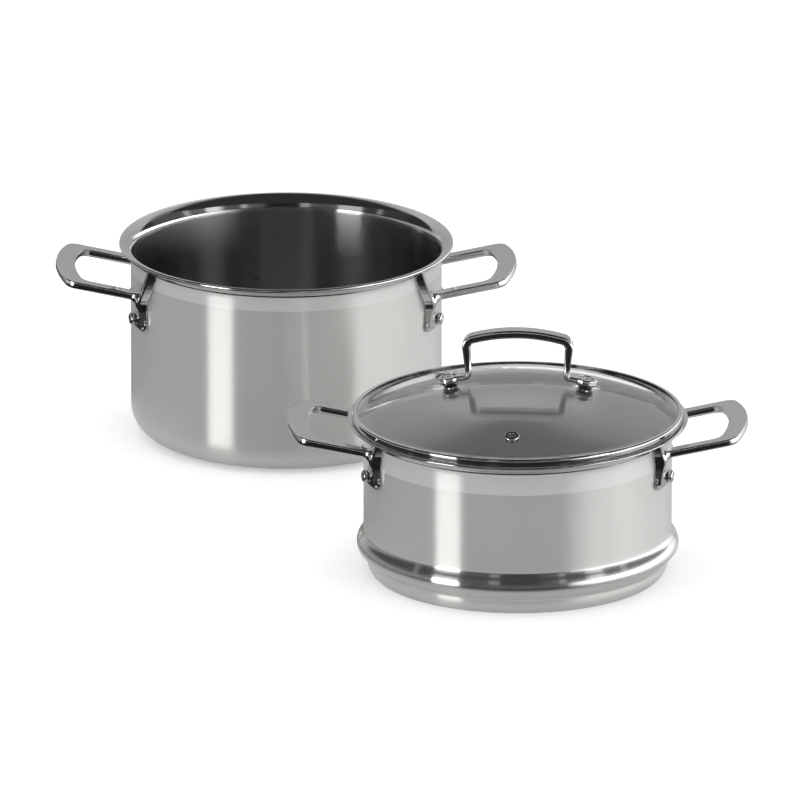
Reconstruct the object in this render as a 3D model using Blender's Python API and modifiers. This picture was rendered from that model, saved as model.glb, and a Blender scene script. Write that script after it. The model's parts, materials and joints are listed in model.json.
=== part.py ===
"""Saucepan with a steamer insert and a glass lid, modelled piece by piece in metres.

The saucepan stands at the origin. The insert stands in front of it and to the right, with the
lid on. Stacked for use, the insert's skirt drops into the pan and its bead rests on the pan's
flared lip, so both vessels share one bore, one lip and one handle casting.
"""

import math

import bmesh
import bpy
from mathutils import Matrix, Vector

# General values
FACETS = 40
SMALL_FACETS = 12
SEAT_GAP = 0.0003
WELD_DISTANCE = 0.00001
MERGE_THRESHOLD = 0.00005
SMOOTH_ANGLE = math.radians(35)
FLAT_ANGLE = math.radians(0.5)
MITRE_FLOOR = 0.3
DRILL_LENGTH = 0.0200

# Saucepan
POT_BORE = 0.1000
POT_SHEET = 0.0025
POT_HEIGHT = 0.1305
POT_LIP_REACH = 0.0077
POT_FLARE = 0.0080
POT_CORNER = 0.0200
POT_WALL = POT_BORE + POT_SHEET
POT_LIP_RADIUS = POT_WALL + POT_LIP_REACH

# Steamer insert: its skirt drops into the pan's bore, and its bead sits on the pan's lip
STEAMER_WALL_STEP = 0.0003
STEAMER_SHEET = 0.0012
STEAMER_HEIGHT = 0.1034
STEAMER_LIP_REACH = 0.0104
STEAMER_FLARE = 0.0094
STEAMER_PLACE = (0.1515, -0.3006, 0.0)
SKIRT_CLEARANCE = 0.0022
SKIRT_CORNER = 0.0098
SKIRT_TURN = math.radians(52)
BEAD_OVERHANG = 0.0022
STEAMER_WALL = POT_BORE + STEAMER_WALL_STEP
STEAMER_LIP_RADIUS = STEAMER_WALL + STEAMER_LIP_REACH
SKIRT_RADIUS = POT_BORE - SKIRT_CLEARANCE
BEAD_RADIUS = POT_WALL + BEAD_OVERHANG
BEAD_CURVE = 0.0089
BEAD_UNDER_CURVE = 0.0049
BEAD_UNDER_TURN = math.radians(42)
BEAD_HEIGHT = 0.0194
BEAD_SHOULDER = 0.0077
FLOOR_HOLE = 0.0030
FLOOR_HOLE_PITCH = 0.0210
FLOOR_HOLE_RINGS = 3
FLOOR_HOLE_SIDES = 8
LIP_TURN = math.radians(75)

# Cast loop handles, the same on both vessels
GRIP_REACH = 0.0496
GRIP_WIDTH = 0.0126
GRIP_ARC = 0.1100
GRIP_THICK = 0.0051
GRIP_EDGE = 0.0010
GRIP_TILT = math.radians(11.8)
ARM_OUTSIDE = 0.0432
ARM_WIDTH = 0.0090
GRIP_CORNER = 0.0095
WINDOW_CORNER = 0.0070
POT_GRIP_DROP = 0.0162
STEAMER_GRIP_DROP = 0.0027
POT_GRIP_HEIGHT = POT_HEIGHT - POT_GRIP_DROP
STEAMER_GRIP_HEIGHT = STEAMER_HEIGHT - STEAMER_GRIP_DROP
RIB_RADIUS = 0.0033
RIB_SINK = 0.0027
LEG_DROP = 0.0310
LEG_SPREAD = math.radians(5.5)
BRANCH_BOW = 0.8
POT_BRANCH_RISE = 0.0260
POT_BRANCH_SPREAD = math.radians(12.0)
STEAMER_BRANCH_RISE = 0.0120
STEAMER_BRANCH_SPREAD = math.radians(6.0)
EAR_THICK = 0.0015
EAR_RADIUS = 0.0058
RIVET_ANGLE = math.radians(16)
RIVET_DROP = 0.0283
RIVET_SHANK = 0.0024
RIVET_HEAD = 0.0041
RIVET_HEAD_RISE = 0.0027
RIVET_HEAD_ROUND = 0.0016
RIVET_TAIL = 0.0046
RIVET_TAIL_TOP = 0.0028
RIVET_TAIL_RISE = 0.0016
ARM_CENTRE = ARM_OUTSIDE - ARM_WIDTH / 2

# Glass lid, its rim ring and its steam vent: the ring rests on the insert's lip
LID_TURN = math.radians(-3)
LID_INSET = 0.0031
RING_COVER = 0.0047
RING_EDGE_WALL = 0.0011
RING_LEAF = 0.0007
RING_ROUND = 0.0016
RING_SEAT_DROP = 0.0006
RING_RADIUS = STEAMER_LIP_RADIUS - LID_INSET
RING_INSIDE = RING_RADIUS - RING_COVER
GLASS_THICK = 0.0036
GLASS_RISE = 0.0198
GLASS_FLANGE_CURVE = 0.0120
GLASS_FLAT_MARGIN = 0.0004
GLASS_EDGE = RING_RADIUS - RING_EDGE_WALL - SEAT_GAP
GLASS_FLAT_FROM = RING_INSIDE - GLASS_FLAT_MARGIN
VENT_FORWARD = 0.0790
VENT_FLANGE = 0.0050
VENT_FLANGE_RISE = 0.0014
VENT_BARREL = 0.0030
VENT_BORE = 0.0019

# Lid handle and the stack that clamps each of its feet to the glass
STACK_REACH = 0.0436
STRAP_WIDTH = 0.0100
STRAP_THICK_TOP = 0.0054
STRAP_THICK_FOOT = 0.0035
STRAP_EDGE = 0.0011
STRAP_TOP = 0.0563
STRAP_ARCH = 0.1110
STRAP_HALF_TOP = 0.0338
STRAP_HALF_HEEL = 0.0318
STRAP_SHOULDER = 0.0058
STRAP_HEEL_ROUND = 0.0024
STRAP_TAPER_SHARE = 0.75
FOOT_RADIUS = 0.0070
FOOT_LIFT = 0.0039
FOOT_PROUD = 0.0002
FOOT_EDGE = 0.0009
SCREW_SHANK = 0.0022
SCREW_HEAD = 0.0043
SCREW_HEAD_TOP = 0.0032
SCREW_HEAD_DEPTH = 0.0016
GASKET_THICK = 0.0007
GASKET_RADIUS = 0.0044
SPACER_TOP = 0.0066
NUT_FLANGE = 0.0055
NUT_FLANGE_THICK = 0.0011
NUT_DOME = 0.0042
NUT_DOME_TOP = 0.0025
NUT_DOME_ROUND = 0.0017
NUT_DEPTH = 0.0046

# Places worked out from the values above
LIP_PLANE = STEAMER_HEIGHT
RING_BOTTOM = LIP_PLANE - RING_SEAT_DROP
GLASS_SEAT = RING_BOTTOM + RING_LEAF + SEAT_GAP
GLASS_FLANGE_TOP = GLASS_SEAT + GLASS_THICK
RING_TOP = GLASS_FLANGE_TOP + SEAT_GAP + RING_LEAF
DOME_RADIUS = (
    (GLASS_FLAT_FROM**2 + GLASS_RISE**2) / (2 * GLASS_RISE) - GLASS_FLANGE_CURVE
)
DOME_CENTRE = GLASS_FLANGE_TOP + GLASS_RISE - DOME_RADIUS


def clear_scene():
    """Remove what is in the scene, so that the script can be run again."""
    for item in list(bpy.data.objects):
        bpy.data.objects.remove(item, do_unlink=True)


def new_collection(name):
    """Make a collection under the scene's own."""
    made = bpy.data.collections.new(name)
    bpy.context.scene.collection.children.link(made)
    return made


def new_material(name, colour, roughness, metallic, transmission=0.0):
    """Make a Principled material."""
    made = bpy.data.materials.new(name)
    made.use_nodes = True
    shader = made.node_tree.nodes["Principled BSDF"]
    shader.inputs["Base Color"].default_value = (*colour, 1.0)
    shader.inputs["Roughness"].default_value = roughness
    shader.inputs["Metallic"].default_value = metallic
    shader.inputs["Transmission Weight"].default_value = transmission
    return made


def arc(centre, radius, start, end, steps):
    """Points of an arc from one angle to the other, in steps of equal length."""
    points = []
    for step in range(steps + 1):
        angle = start + (end - start) * step / steps
        points.append((centre[0] + radius * math.cos(angle), centre[1] + radius * math.sin(angle)))
    return points


def offset_line(points, distance):
    """The line moved to the left of its own direction, with mitred corners."""
    moved = []
    last = len(points) - 1
    for index, point in enumerate(points):
        before = Vector(points[max(index - 1, 0)])
        here = Vector(point)
        after = Vector(points[min(index + 1, last)])
        into = (here - before).normalized() if index > 0 else (after - here).normalized()
        out = (after - here).normalized() if index < last else into
        side = Vector((-into.y - out.y, into.x + out.x)).normalized()
        mitre = distance / max(side.dot(Vector((-into.y, into.x))), MITRE_FLOOR)
        moved.append(tuple(here + side * mitre))
    return moved


def object_from_mesh(name, mesh, collection):
    """Put a mesh into the scene as an object."""
    made = bpy.data.objects.new(name, mesh)
    collection.objects.link(made)
    return made


def hide_as_cutter(item):
    """Show a cutter as wire and keep it out of renders."""
    item.hide_render = True
    item.display_type = "WIRE"
    return item


def turned(name, profile, collection, steps=FACETS, closed=False):
    """Turn a profile of (radius, height) points about Z with a Screw modifier."""
    made = bmesh.new()
    rows = [made.verts.new((radius, 0.0, height)) for radius, height in profile]
    for first, second in zip(rows, rows[1:]):
        made.edges.new((first, second))
    if closed:
        made.edges.new((rows[-1], rows[0]))
    mesh = bpy.data.meshes.new(name)
    made.to_mesh(mesh)
    made.free()
    item = object_from_mesh(name, mesh, collection)
    screw = item.modifiers.new("turn", "SCREW")
    screw.axis = "Z"
    screw.angle = math.tau
    screw.steps = steps
    screw.render_steps = steps
    screw.use_merge_vertices = True
    screw.merge_threshold = MERGE_THRESHOLD
    screw.use_smooth_shade = False
    return item


def boolean(item, other, operation):
    """Join, cut or intersect an object with another one by a Boolean modifier."""
    step = item.modifiers.new(operation.lower(), "BOOLEAN")
    step.operation = operation
    step.solver = "EXACT"
    step.object = other
    return item


def frozen(item, name, collection):
    """Turn a curve, or an object with modifiers, into a welded mesh in its own place."""
    bpy.context.view_layer.update()
    graph = bpy.context.evaluated_depsgraph_get()
    mesh = bpy.data.meshes.new_from_object(item.evaluated_get(graph))
    mesh.name = name
    mesh.transform(item.matrix_world)
    made = bmesh.new()
    made.from_mesh(mesh)
    bmesh.ops.remove_doubles(made, verts=made.verts, dist=WELD_DISTANCE)
    made.to_mesh(mesh)
    made.free()
    bpy.data.objects.remove(item, do_unlink=True)
    return object_from_mesh(name, mesh, collection)


def cleared(item):
    """Clear the slivers that holes leave across a flat face."""
    step = item.modifiers.new("clear flats", "DECIMATE")
    step.decimate_type = "DISSOLVE"
    step.angle_limit = FLAT_ANGLE
    return item


def combined(item, form, operation, collection):
    """Work a construction form into a piece for good, and remove the form."""
    boolean(item, form, operation)
    item = frozen(item, item.name, collection)
    bpy.data.objects.remove(form, do_unlink=True)
    return item


def outline_solid(name, outline, thickness, edge, collection, matrix):
    """Extrude a closed flat outline, round its edges and place it."""
    data = bpy.data.curves.new(name, "CURVE")
    data.dimensions = "2D"
    data.fill_mode = "BOTH"
    data.extrude = thickness / 2 - edge
    data.bevel_depth = edge
    data.bevel_resolution = 0
    data.offset = -edge
    spline = data.splines.new("POLY")
    spline.points.add(len(outline) - 1)
    for point, (across, along) in zip(spline.points, outline):
        point.co = (across, along, 0.0, 1.0)
    spline.use_cyclic_u = True
    item = object_from_mesh(name, data, collection)
    item.matrix_world = matrix
    return frozen(item, name, collection)


def tube(name, path, radii, radius, collection):
    """Sweep a round section along a path, with the section's size given at each point."""
    data = bpy.data.curves.new(name, "CURVE")
    data.dimensions = "3D"
    data.bevel_depth = radius
    data.bevel_resolution = 2
    data.use_fill_caps = True
    spline = data.splines.new("POLY")
    spline.points.add(len(path) - 1)
    for point, place, size in zip(spline.points, path, radii):
        point.co = (*place, 1.0)
        point.radius = size
    item = object_from_mesh(name, data, collection)
    return frozen(item, name, collection)


def bar_cutter(name, radius, length, sides, matrices, collection):
    """One cutter made of round bars along their own Z, centred at each matrix."""
    made = bmesh.new()
    for matrix in matrices:
        bmesh.ops.create_cone(
            made,
            cap_ends=True,
            segments=sides,
            radius1=radius,
            radius2=radius,
            depth=length,
            matrix=matrix,
        )
    mesh = bpy.data.meshes.new(name)
    made.to_mesh(mesh)
    made.free()
    return hide_as_cutter(object_from_mesh(name, mesh, collection))


def finish(item, material):
    """Give a finished piece its material and smooth its round faces."""
    item.data.materials.clear()
    item.data.materials.append(material)
    item.data.shade_smooth()
    item.data.set_sharp_from_angle(angle=SMOOTH_ANGLE)
    return item


def lip_line(wall, lip, height, flare, sheet):
    """Outer side of a flared lip: nose, short straight run and flare, down to the wall."""
    half = sheet / 2
    reach = lip - half + half * math.cos(LIP_TURN)
    run = (reach - (wall + flare) + flare * math.cos(LIP_TURN)) / math.sin(LIP_TURN)
    rise = (flare + half) * math.sin(LIP_TURN) + run * math.cos(LIP_TURN)
    start = height - half - rise
    centre = (wall + flare, start)
    flare_arc = arc(centre, flare, math.pi - LIP_TURN, math.pi, 4)
    end = (
        flare_arc[0][0] + run * math.sin(LIP_TURN),
        flare_arc[0][1] + run * math.cos(LIP_TURN),
    )
    return [end] + flare_arc


def sheet_profile(outer, sheet):
    """Closed-up profile of pressed sheet: inside going up, rounded edge, outside going down."""
    inner = offset_line(outer, -sheet)
    inner[-1] = (0.0, sheet)
    middle = ((outer[0][0] + inner[0][0]) / 2, (outer[0][1] + inner[0][1]) / 2)
    start = math.atan2(inner[0][1] - middle[1], inner[0][0] - middle[0])
    nose = arc(middle, sheet / 2, start, start - math.pi, 3)
    return inner[::-1] + nose[1:-1] + outer


def pot_outline():
    """Outer side of the saucepan, from the lip down to the middle of its base."""
    line = lip_line(POT_WALL, POT_LIP_RADIUS, POT_HEIGHT, POT_FLARE, POT_SHEET)
    centre = (POT_WALL - POT_CORNER, POT_CORNER)
    return line + arc(centre, POT_CORNER, 0.0, -math.pi / 2, 5) + [(0.0, 0.0)]


def steamer_outline():
    """Outer side of the insert: lip, wall, bead with its sloping seat, skirt and base."""
    line = lip_line(STEAMER_WALL, STEAMER_LIP_RADIUS, STEAMER_HEIGHT, STEAMER_FLARE, STEAMER_SHEET)
    bead_centre = (BEAD_RADIUS - BEAD_CURVE, BEAD_HEIGHT)
    across = STEAMER_WALL + BEAD_SHOULDER - bead_centre[0]
    shoulder_turn = math.acos(across / (BEAD_CURVE + BEAD_SHOULDER))
    up = math.sin(shoulder_turn) * (BEAD_CURVE + BEAD_SHOULDER)
    shoulder_centre = (STEAMER_WALL + BEAD_SHOULDER, BEAD_HEIGHT + up)
    line += arc(shoulder_centre, BEAD_SHOULDER, math.pi, math.pi + shoulder_turn, 2)
    line += arc(bead_centre, BEAD_CURVE, shoulder_turn, 0.0, 3)[1:]
    under_centre = (BEAD_RADIUS - BEAD_UNDER_CURVE, BEAD_HEIGHT)
    line += arc(under_centre, BEAD_UNDER_CURVE, 0.0, -BEAD_UNDER_TURN, 2)[1:]
    seat_fall = (line[-1][0] - SKIRT_RADIUS) / math.tan(BEAD_UNDER_TURN)
    line.append((SKIRT_RADIUS, line[-1][1] - seat_fall))
    corner = min(SKIRT_CORNER, line[-1][1] / math.sin(SKIRT_TURN))
    corner_centre = (SKIRT_RADIUS - corner, corner * math.sin(SKIRT_TURN))
    line += arc(corner_centre, corner, 0.0, -SKIRT_TURN, 3)
    return line + [(0.0, 0.0)]


def rivet_height(grip_height):
    """Height of a handle's rivets above the base it stands on."""
    return grip_height - RIVET_DROP


def rivet_matrices(wall, grip_height):
    """Frames of a vessel's four rivets, each with Z pointing out through the wall."""
    frames = []
    for side in (0.0, math.pi):
        for angle in (-RIVET_ANGLE, RIVET_ANGLE):
            turn = Matrix.Rotation(side + angle, 4, "Z")
            place = Matrix.Translation((wall, 0.0, rivet_height(grip_height)))
            frames.append(turn @ place @ Matrix.Rotation(math.pi / 2, 4, "Y"))
    return frames


def rivet_holes(name, wall, grip_height, collection):
    """Cutter for a vessel's four rivet holes."""
    frames = rivet_matrices(wall, grip_height)
    radius = RIVET_SHANK + SEAT_GAP
    return bar_cutter(name, radius, DRILL_LENGTH, SMALL_FACETS, frames, collection)


def make_pot_body(parts, cutters, steel):
    """Deep pan pressed from one bonded sheet, with four rivet holes."""
    body = turned("pot_body", sheet_profile(pot_outline(), POT_SHEET), parts)
    boolean(body, rivet_holes("pot_rivet_holes", POT_WALL, POT_GRIP_HEIGHT, cutters), "DIFFERENCE")
    return finish(body, steel)


def floor_hole_matrices():
    """Places of the steam holes: one in the middle and rings of six, twelve and so on."""
    places = [Matrix.Identity(4)]
    for ring in range(1, FLOOR_HOLE_RINGS + 1):
        count = 6 * ring
        for index in range(count):
            angle = math.tau * (index + 0.5 * (ring % 2)) / count
            spot = Vector((math.cos(angle), math.sin(angle), 0.0)) * ring * FLOOR_HOLE_PITCH
            places.append(Matrix.Translation(spot))
    return places


def make_steamer_body(parts, cutters, steel, frame):
    """Insert pressed from thinner sheet, with its bead, its skirt and its perforated floor."""
    body = turned("steamer_body", sheet_profile(steamer_outline(), STEAMER_SHEET), parts)
    rivets = rivet_holes("steamer_rivet_holes", STEAMER_WALL, STEAMER_GRIP_HEIGHT, cutters)
    steam = bar_cutter(
        "steam_holes", FLOOR_HOLE, DRILL_LENGTH, FLOOR_HOLE_SIDES, floor_hole_matrices(), cutters
    )
    boolean(body, rivets, "DIFFERENCE")
    boolean(body, steam, "DIFFERENCE")
    cleared(body)
    for item in (body, rivets, steam):
        item.parent = frame
    return finish(body, steel)


def rounded_end(reach, end_arc, half_width, corner):
    """End of a loop: an arc across, rounded into two straight sides."""
    arc_centre = reach - end_arc
    side = half_width - corner
    corner_centre = arc_centre + math.sqrt((end_arc - corner) ** 2 - side**2)
    lean = math.atan2(side, corner_centre - arc_centre)
    points = arc((corner_centre, -side), corner, -math.pi / 2, -lean, 3)
    points += arc((arc_centre, 0.0), end_arc, -lean, lean, 6)[1:-1]
    points += arc((corner_centre, side), corner, lean, math.pi / 2, 3)
    return points


def loop_outline(wall):
    """Flat outline of a handle's two arms and its grip, open towards the vessel."""
    reach = wall + GRIP_REACH
    inside = ARM_OUTSIDE - ARM_WIDTH
    start = math.sqrt(wall**2 - ARM_OUTSIDE**2) - ARM_WIDTH
    outer = [(start, -ARM_OUTSIDE)] + rounded_end(reach, GRIP_ARC, ARM_OUTSIDE, GRIP_CORNER)
    outer.append((start, ARM_OUTSIDE))
    window = [(start, -inside)]
    window += rounded_end(reach - GRIP_WIDTH, GRIP_ARC - GRIP_WIDTH, inside, WINDOW_CORNER)
    window.append((start, inside))
    return outer + window[::-1]


def on_wall(radius, angle, height):
    """A point beside the vessel's wall."""
    return (radius * math.cos(angle), radius * math.sin(angle), height)


def rib_path(radius, start, end, bow, steps):
    """Path on the wall between two (angle, height) points, bowed towards the first angle."""
    path = []
    for step in range(steps + 1):
        share = step / steps
        angle = start[0] + (end[0] - start[0]) * share**bow
        path.append(on_wall(radius, angle, start[1] + (end[1] - start[1]) * share))
    return path


def round_ends(count):
    """Section sizes along a rib: full, with its far end drawn in round."""
    sizes = [1.0] * count
    sizes[-2] = 0.87
    sizes[-1] = 0.35
    return sizes


def leg_ends(wall, grip_height):
    """Angle and height of a leg's top, where its arm meets the wall, and of its lower end."""
    arm_angle = math.asin(ARM_CENTRE / wall)
    arm_drop = (GRIP_REACH + wall - wall * math.cos(arm_angle)) * math.tan(GRIP_TILT)
    joint = (arm_angle, grip_height - arm_drop)
    return joint, (arm_angle + LEG_SPREAD, grip_height - LEG_DROP)


def make_ribs(wall, grip_height, rise, spread, side, collection):
    """Leg and branch of one arm: half-round ribs that follow the wall."""
    radius = wall + RIB_RADIUS - RIB_SINK
    joint, low = leg_ends(wall, grip_height)
    start = (side * joint[0], joint[1])
    leg = rib_path(radius, start, (side * low[0], low[1]), 1.0, 6)
    branch_end = (side * (joint[0] + spread), joint[1] + rise)
    branch = rib_path(radius, start, branch_end, BRANCH_BOW, 6)
    return (
        tube("leg_form", leg, round_ends(len(leg)), RIB_RADIUS, collection),
        tube("branch_form", branch, [1.0] * len(branch), RIB_RADIUS, collection),
    )


def make_ear(wall, grip_height, side, collection):
    """Thin ear between a leg and its rivet, hugging the wall."""
    height = rivet_height(grip_height)
    joint, low = leg_ends(wall, grip_height)
    share = (joint[1] - height) / (joint[1] - low[1])
    near = wall * math.sin(RIVET_ANGLE)
    far = wall * math.sin(joint[0] + (low[0] - joint[0]) * share)
    half = math.pi / 2
    outline = arc((side * near, 0.0), EAR_RADIUS, -half, -half - side * math.pi, 8)
    outline += [(side * far, EAR_RADIUS), (side * far, -EAR_RADIUS)]
    out = Matrix(((0, 0, 1, wall), (1, 0, 0, 0), (0, 1, 0, height), (0, 0, 0, 1)))
    depth = 2 * (wall - math.sqrt(wall**2 - far**2)) + 8 * EAR_THICK
    tab = outline_solid("ear_form", outline, depth, 0.0, collection, out)
    outside = wall + SEAT_GAP + EAR_THICK
    inside = wall - EAR_THICK
    high = height + 2 * EAR_RADIUS
    low_edge = height - 2 * EAR_RADIUS
    section = [(inside, high), (outside, high), (outside, low_edge), (inside, low_edge)]
    band = turned("ear_band", section, collection, closed=True)
    return combined(tab, band, "INTERSECT", collection)


def vessel_envelope(name, outline, collection):
    """Cutter filling a vessel out to its outer side and the seat gap around it."""
    grown = offset_line(outline, SEAT_GAP)
    top = grown[0][1] + LEG_DROP
    profile = [(0.0, top), (grown[0][0], top)] + grown[:-1] + [(0.0, -SEAT_GAP)]
    return hide_as_cutter(turned(name, profile, collection))


def make_handle_mesh(name, wall, grip_height, rise, spread, envelope, holes, cutters):
    """Cast handle: loop, ribs and ears in one piece, fitted to its vessel."""
    middle = wall + GRIP_REACH - GRIP_WIDTH / 2
    tilt = Matrix.Translation((middle, 0.0, grip_height)) @ Matrix.Rotation(-GRIP_TILT, 4, "Y")
    flat = tilt @ Matrix.Translation((-middle, 0.0, 0.0))
    body = outline_solid(name, loop_outline(wall), GRIP_THICK, GRIP_EDGE, cutters, flat)
    for side in (-1, 1):
        ribs = make_ribs(wall, grip_height, rise, spread, side, cutters)
        for form in (*ribs, make_ear(wall, grip_height, side, cutters)):
            body = combined(body, form, "UNION", cutters)
    boolean(body, envelope, "DIFFERENCE")
    boolean(body, holes, "DIFFERENCE")
    body = frozen(body, name, cutters)
    mesh = body.data
    bpy.data.objects.remove(body, do_unlink=True)
    return mesh


def make_handles(prefix, wall, grip_height, branch, outline, parts, cutters, steel, frame):
    """Both handles of a vessel, from one mesh."""
    envelope = vessel_envelope(prefix + "_envelope", outline, cutters)
    holes = rivet_holes(prefix + "_ear_holes", wall, grip_height, cutters)
    mesh = make_handle_mesh(
        prefix + "_handle", wall, grip_height, *branch, envelope, holes, cutters
    )
    for side, turn in (("right", 0.0), ("left", math.pi)):
        handle = object_from_mesh(prefix + "_handle_" + side, mesh, parts)
        handle.rotation_euler.z = turn
        handle.parent = frame
        finish(handle, steel)


def rivet_profile(wall, sheet):
    """Button head outside the ear, shank through the wall, low tail inside."""
    seat = 2 * SEAT_GAP + EAR_THICK
    top = seat + RIVET_HEAD_RISE
    bore = wall - sheet
    tail = -sheet - SEAT_GAP - RIVET_TAIL**2 / (2 * bore)
    centre = (RIVET_HEAD - RIVET_HEAD_ROUND, top - RIVET_HEAD_ROUND)
    points = [(0.0, top)] + arc(centre, RIVET_HEAD_ROUND, math.pi / 2, 0.0, 2)
    points += [(RIVET_HEAD, seat), (RIVET_SHANK, seat), (RIVET_SHANK, tail), (RIVET_TAIL, tail)]
    return points + [(RIVET_TAIL_TOP, tail - RIVET_TAIL_RISE), (0.0, tail - RIVET_TAIL_RISE)]


def make_rivets(prefix, wall, sheet, grip_height, parts, steel, frame):
    """A vessel's four rivets."""
    names = ("right_front", "right_back", "left_back", "left_front")
    profile = rivet_profile(wall, sheet)
    for name, matrix in zip(names, rivet_matrices(wall, grip_height)):
        rivet = turned(prefix + "_rivet_" + name, profile, parts, SMALL_FACETS)
        rivet.parent = frame
        rivet.matrix_local = matrix
        finish(rivet, steel)


def glass_line():
    """Top side of the glass, from its flat edge up to the middle of the dome."""
    turn = math.asin(GLASS_FLAT_FROM / (DOME_RADIUS + GLASS_FLANGE_CURVE))
    flange_centre = (GLASS_FLAT_FROM, GLASS_FLANGE_TOP + GLASS_FLANGE_CURVE)
    half = math.pi / 2
    line = [(GLASS_EDGE, GLASS_FLANGE_TOP)]
    line += arc(flange_centre, GLASS_FLANGE_CURVE, -half, -half - turn, 2)
    line += arc((0.0, DOME_CENTRE), DOME_RADIUS, half - turn, half, 5)[1:]
    return line


def dome_frame(turn_about, reach):
    """Frame on top of the dome at a distance from its axis, with Z along the glass normal."""
    lean = math.asin(reach / DOME_RADIUS)
    turn = Matrix.Rotation(turn_about, 4, "Z")
    centre = Matrix.Translation((0.0, 0.0, DOME_CENTRE))
    out = Matrix.Translation((0.0, 0.0, DOME_RADIUS))
    return turn @ centre @ Matrix.Rotation(lean, 4, "Y") @ out


def stack_frames():
    """Frames of the two clamping stacks, with the side each one stands on."""
    return (("right", dome_frame(0.0, STACK_REACH)), ("left", dome_frame(math.pi, STACK_REACH)))


def vent_frame():
    """Frame of the steam vent, towards the front of the lid."""
    return dome_frame(-math.pi / 2, VENT_FORWARD)


def make_glass(parts, cutters, glass, frame):
    """Domed glass with a flat edge, two screw holes and a vent hole."""
    top = glass_line()
    under = offset_line(top, GLASS_THICK)
    under[-1] = (0.0, top[-1][1] - GLASS_THICK)
    pane = turned("lid_glass", top[::-1] + under, parts)
    screws = [matrix for side, matrix in stack_frames()]
    vents = [vent_frame()]
    bore = SCREW_SHANK + SEAT_GAP
    screw_holes = bar_cutter("glass_screw_holes", bore, DRILL_LENGTH, SMALL_FACETS, screws, cutters)
    bore = VENT_BARREL + SEAT_GAP
    vent_hole = bar_cutter("glass_vent_hole", bore, DRILL_LENGTH, SMALL_FACETS, vents, cutters)
    boolean(pane, screw_holes, "DIFFERENCE")
    boolean(pane, vent_hole, "DIFFERENCE")
    for item in (pane, screw_holes, vent_hole):
        item.parent = frame
    return finish(pane, glass)


def make_ring(parts, steel, frame):
    """Rolled rim ring with a groove that holds the edge of the glass."""
    groove = GLASS_EDGE + SEAT_GAP
    high = GLASS_FLANGE_TOP + SEAT_GAP
    low = GLASS_SEAT - SEAT_GAP
    side = RING_RADIUS - RING_ROUND
    profile = [(groove, low), (groove, high), (RING_INSIDE, high), (RING_INSIDE, RING_TOP)]
    profile += arc((side, RING_TOP - RING_ROUND), RING_ROUND, math.pi / 2, 0.0, 2)
    profile += arc((side, RING_BOTTOM + RING_ROUND), RING_ROUND, 0.0, -math.pi / 2, 2)
    profile += [(RING_INSIDE, RING_BOTTOM), (RING_INSIDE, low)]
    ring = turned("lid_rim_ring", profile, parts, closed=True)
    ring.parent = frame
    return finish(ring, steel)


def make_vent(parts, steel, frame):
    """Steel eyelet spun over both faces of the glass."""
    top = SEAT_GAP + VENT_FLANGE_RISE
    low = -GLASS_THICK - SEAT_GAP
    edge = VENT_FLANGE_RISE / 2
    profile = [
        (VENT_BORE, top - edge),
        (VENT_BORE + edge, top),
        (VENT_FLANGE - edge, top),
        (VENT_FLANGE, top - edge),
        (VENT_FLANGE, SEAT_GAP),
        (VENT_BARREL, SEAT_GAP),
        (VENT_BARREL, low),
        (VENT_FLANGE - edge, low),
        (VENT_FLANGE - edge, low - edge),
        (VENT_BORE, low - edge),
    ]
    vent = turned("lid_steam_vent", profile, parts, SMALL_FACETS, closed=True)
    vent.parent = frame
    vent.matrix_local = vent_frame()
    return finish(vent, steel)


def fillet(before, corner, after, radius, steps):
    """Arc that rounds a corner between two straight runs."""
    here = Vector(corner)
    back = (Vector(before) - here).normalized()
    ahead = (Vector(after) - here).normalized()
    half = back.angle(ahead) / 2
    centre = here + (back + ahead).normalized() * radius / math.sin(half)
    first = here + back * radius / math.tan(half) - centre
    last = here + ahead * radius / math.tan(half) - centre
    start = math.atan2(first.y, first.x)
    sweep = (math.atan2(last.y, last.x) - start + math.pi) % math.tau - math.pi
    return arc(centre, radius, start, start + sweep, steps)


def foot_point(reach):
    """Point on the middle of a foot's thickness, at a distance along it from its screw."""
    height = FOOT_LIFT + STRAP_THICK_FOOT / 2
    spot = dome_frame(0.0, STACK_REACH) @ Vector((reach, 0.0, height))
    return (spot.x, spot.z)


def strap_line():
    """Middle line of half the lid handle, from the screw up and over to the middle of its top."""
    crown_middle = GLASS_FLANGE_TOP + STRAP_TOP - STRAP_THICK_TOP / 2
    slope = math.tan(math.asin(STACK_REACH / DOME_RADIUS))
    screw = foot_point(0.0)
    heel = (STRAP_HALF_HEEL, screw[1] + (screw[0] - STRAP_HALF_HEEL) * slope)
    crown_centre = (0.0, crown_middle - STRAP_ARCH)
    lean = math.asin(STRAP_HALF_TOP / STRAP_ARCH)
    shoulder = (STRAP_HALF_TOP, crown_centre[1] + STRAP_ARCH * math.cos(lean))
    crown = arc(crown_centre, STRAP_ARCH, math.pi / 2 - lean, math.pi / 2, 6)
    line = [screw] + fillet(screw, heel, shoulder, STRAP_HEEL_ROUND, 3)
    line += fillet(heel, shoulder, crown[1], STRAP_SHOULDER, 5)
    return line + crown[2:]


def strap_outline():
    """Outline of the lid handle seen from the front, thinner towards its feet."""
    line = strap_line()
    height = line[-1][1] - line[0][1]
    inside = []
    outside = []
    for middle, left, right in zip(line, offset_line(line, 0.5), offset_line(line, -0.5)):
        share = min(max((middle[1] - line[0][1]) / (STRAP_TAPER_SHARE * height), 0.0), 1.0)
        thick = STRAP_THICK_FOOT + (STRAP_THICK_TOP - STRAP_THICK_FOOT) * share
        inside.append(tuple(Vector(middle) + (Vector(left) - Vector(middle)) * thick))
        outside.append(tuple(Vector(middle) + (Vector(right) - Vector(middle)) * thick))
    mirrored_inside = [(-across, up) for across, up in inside[:-1]]
    mirrored_outside = [(-across, up) for across, up in outside[:-1]]
    return outside + mirrored_outside[::-1] + mirrored_inside + inside[::-1]


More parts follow.
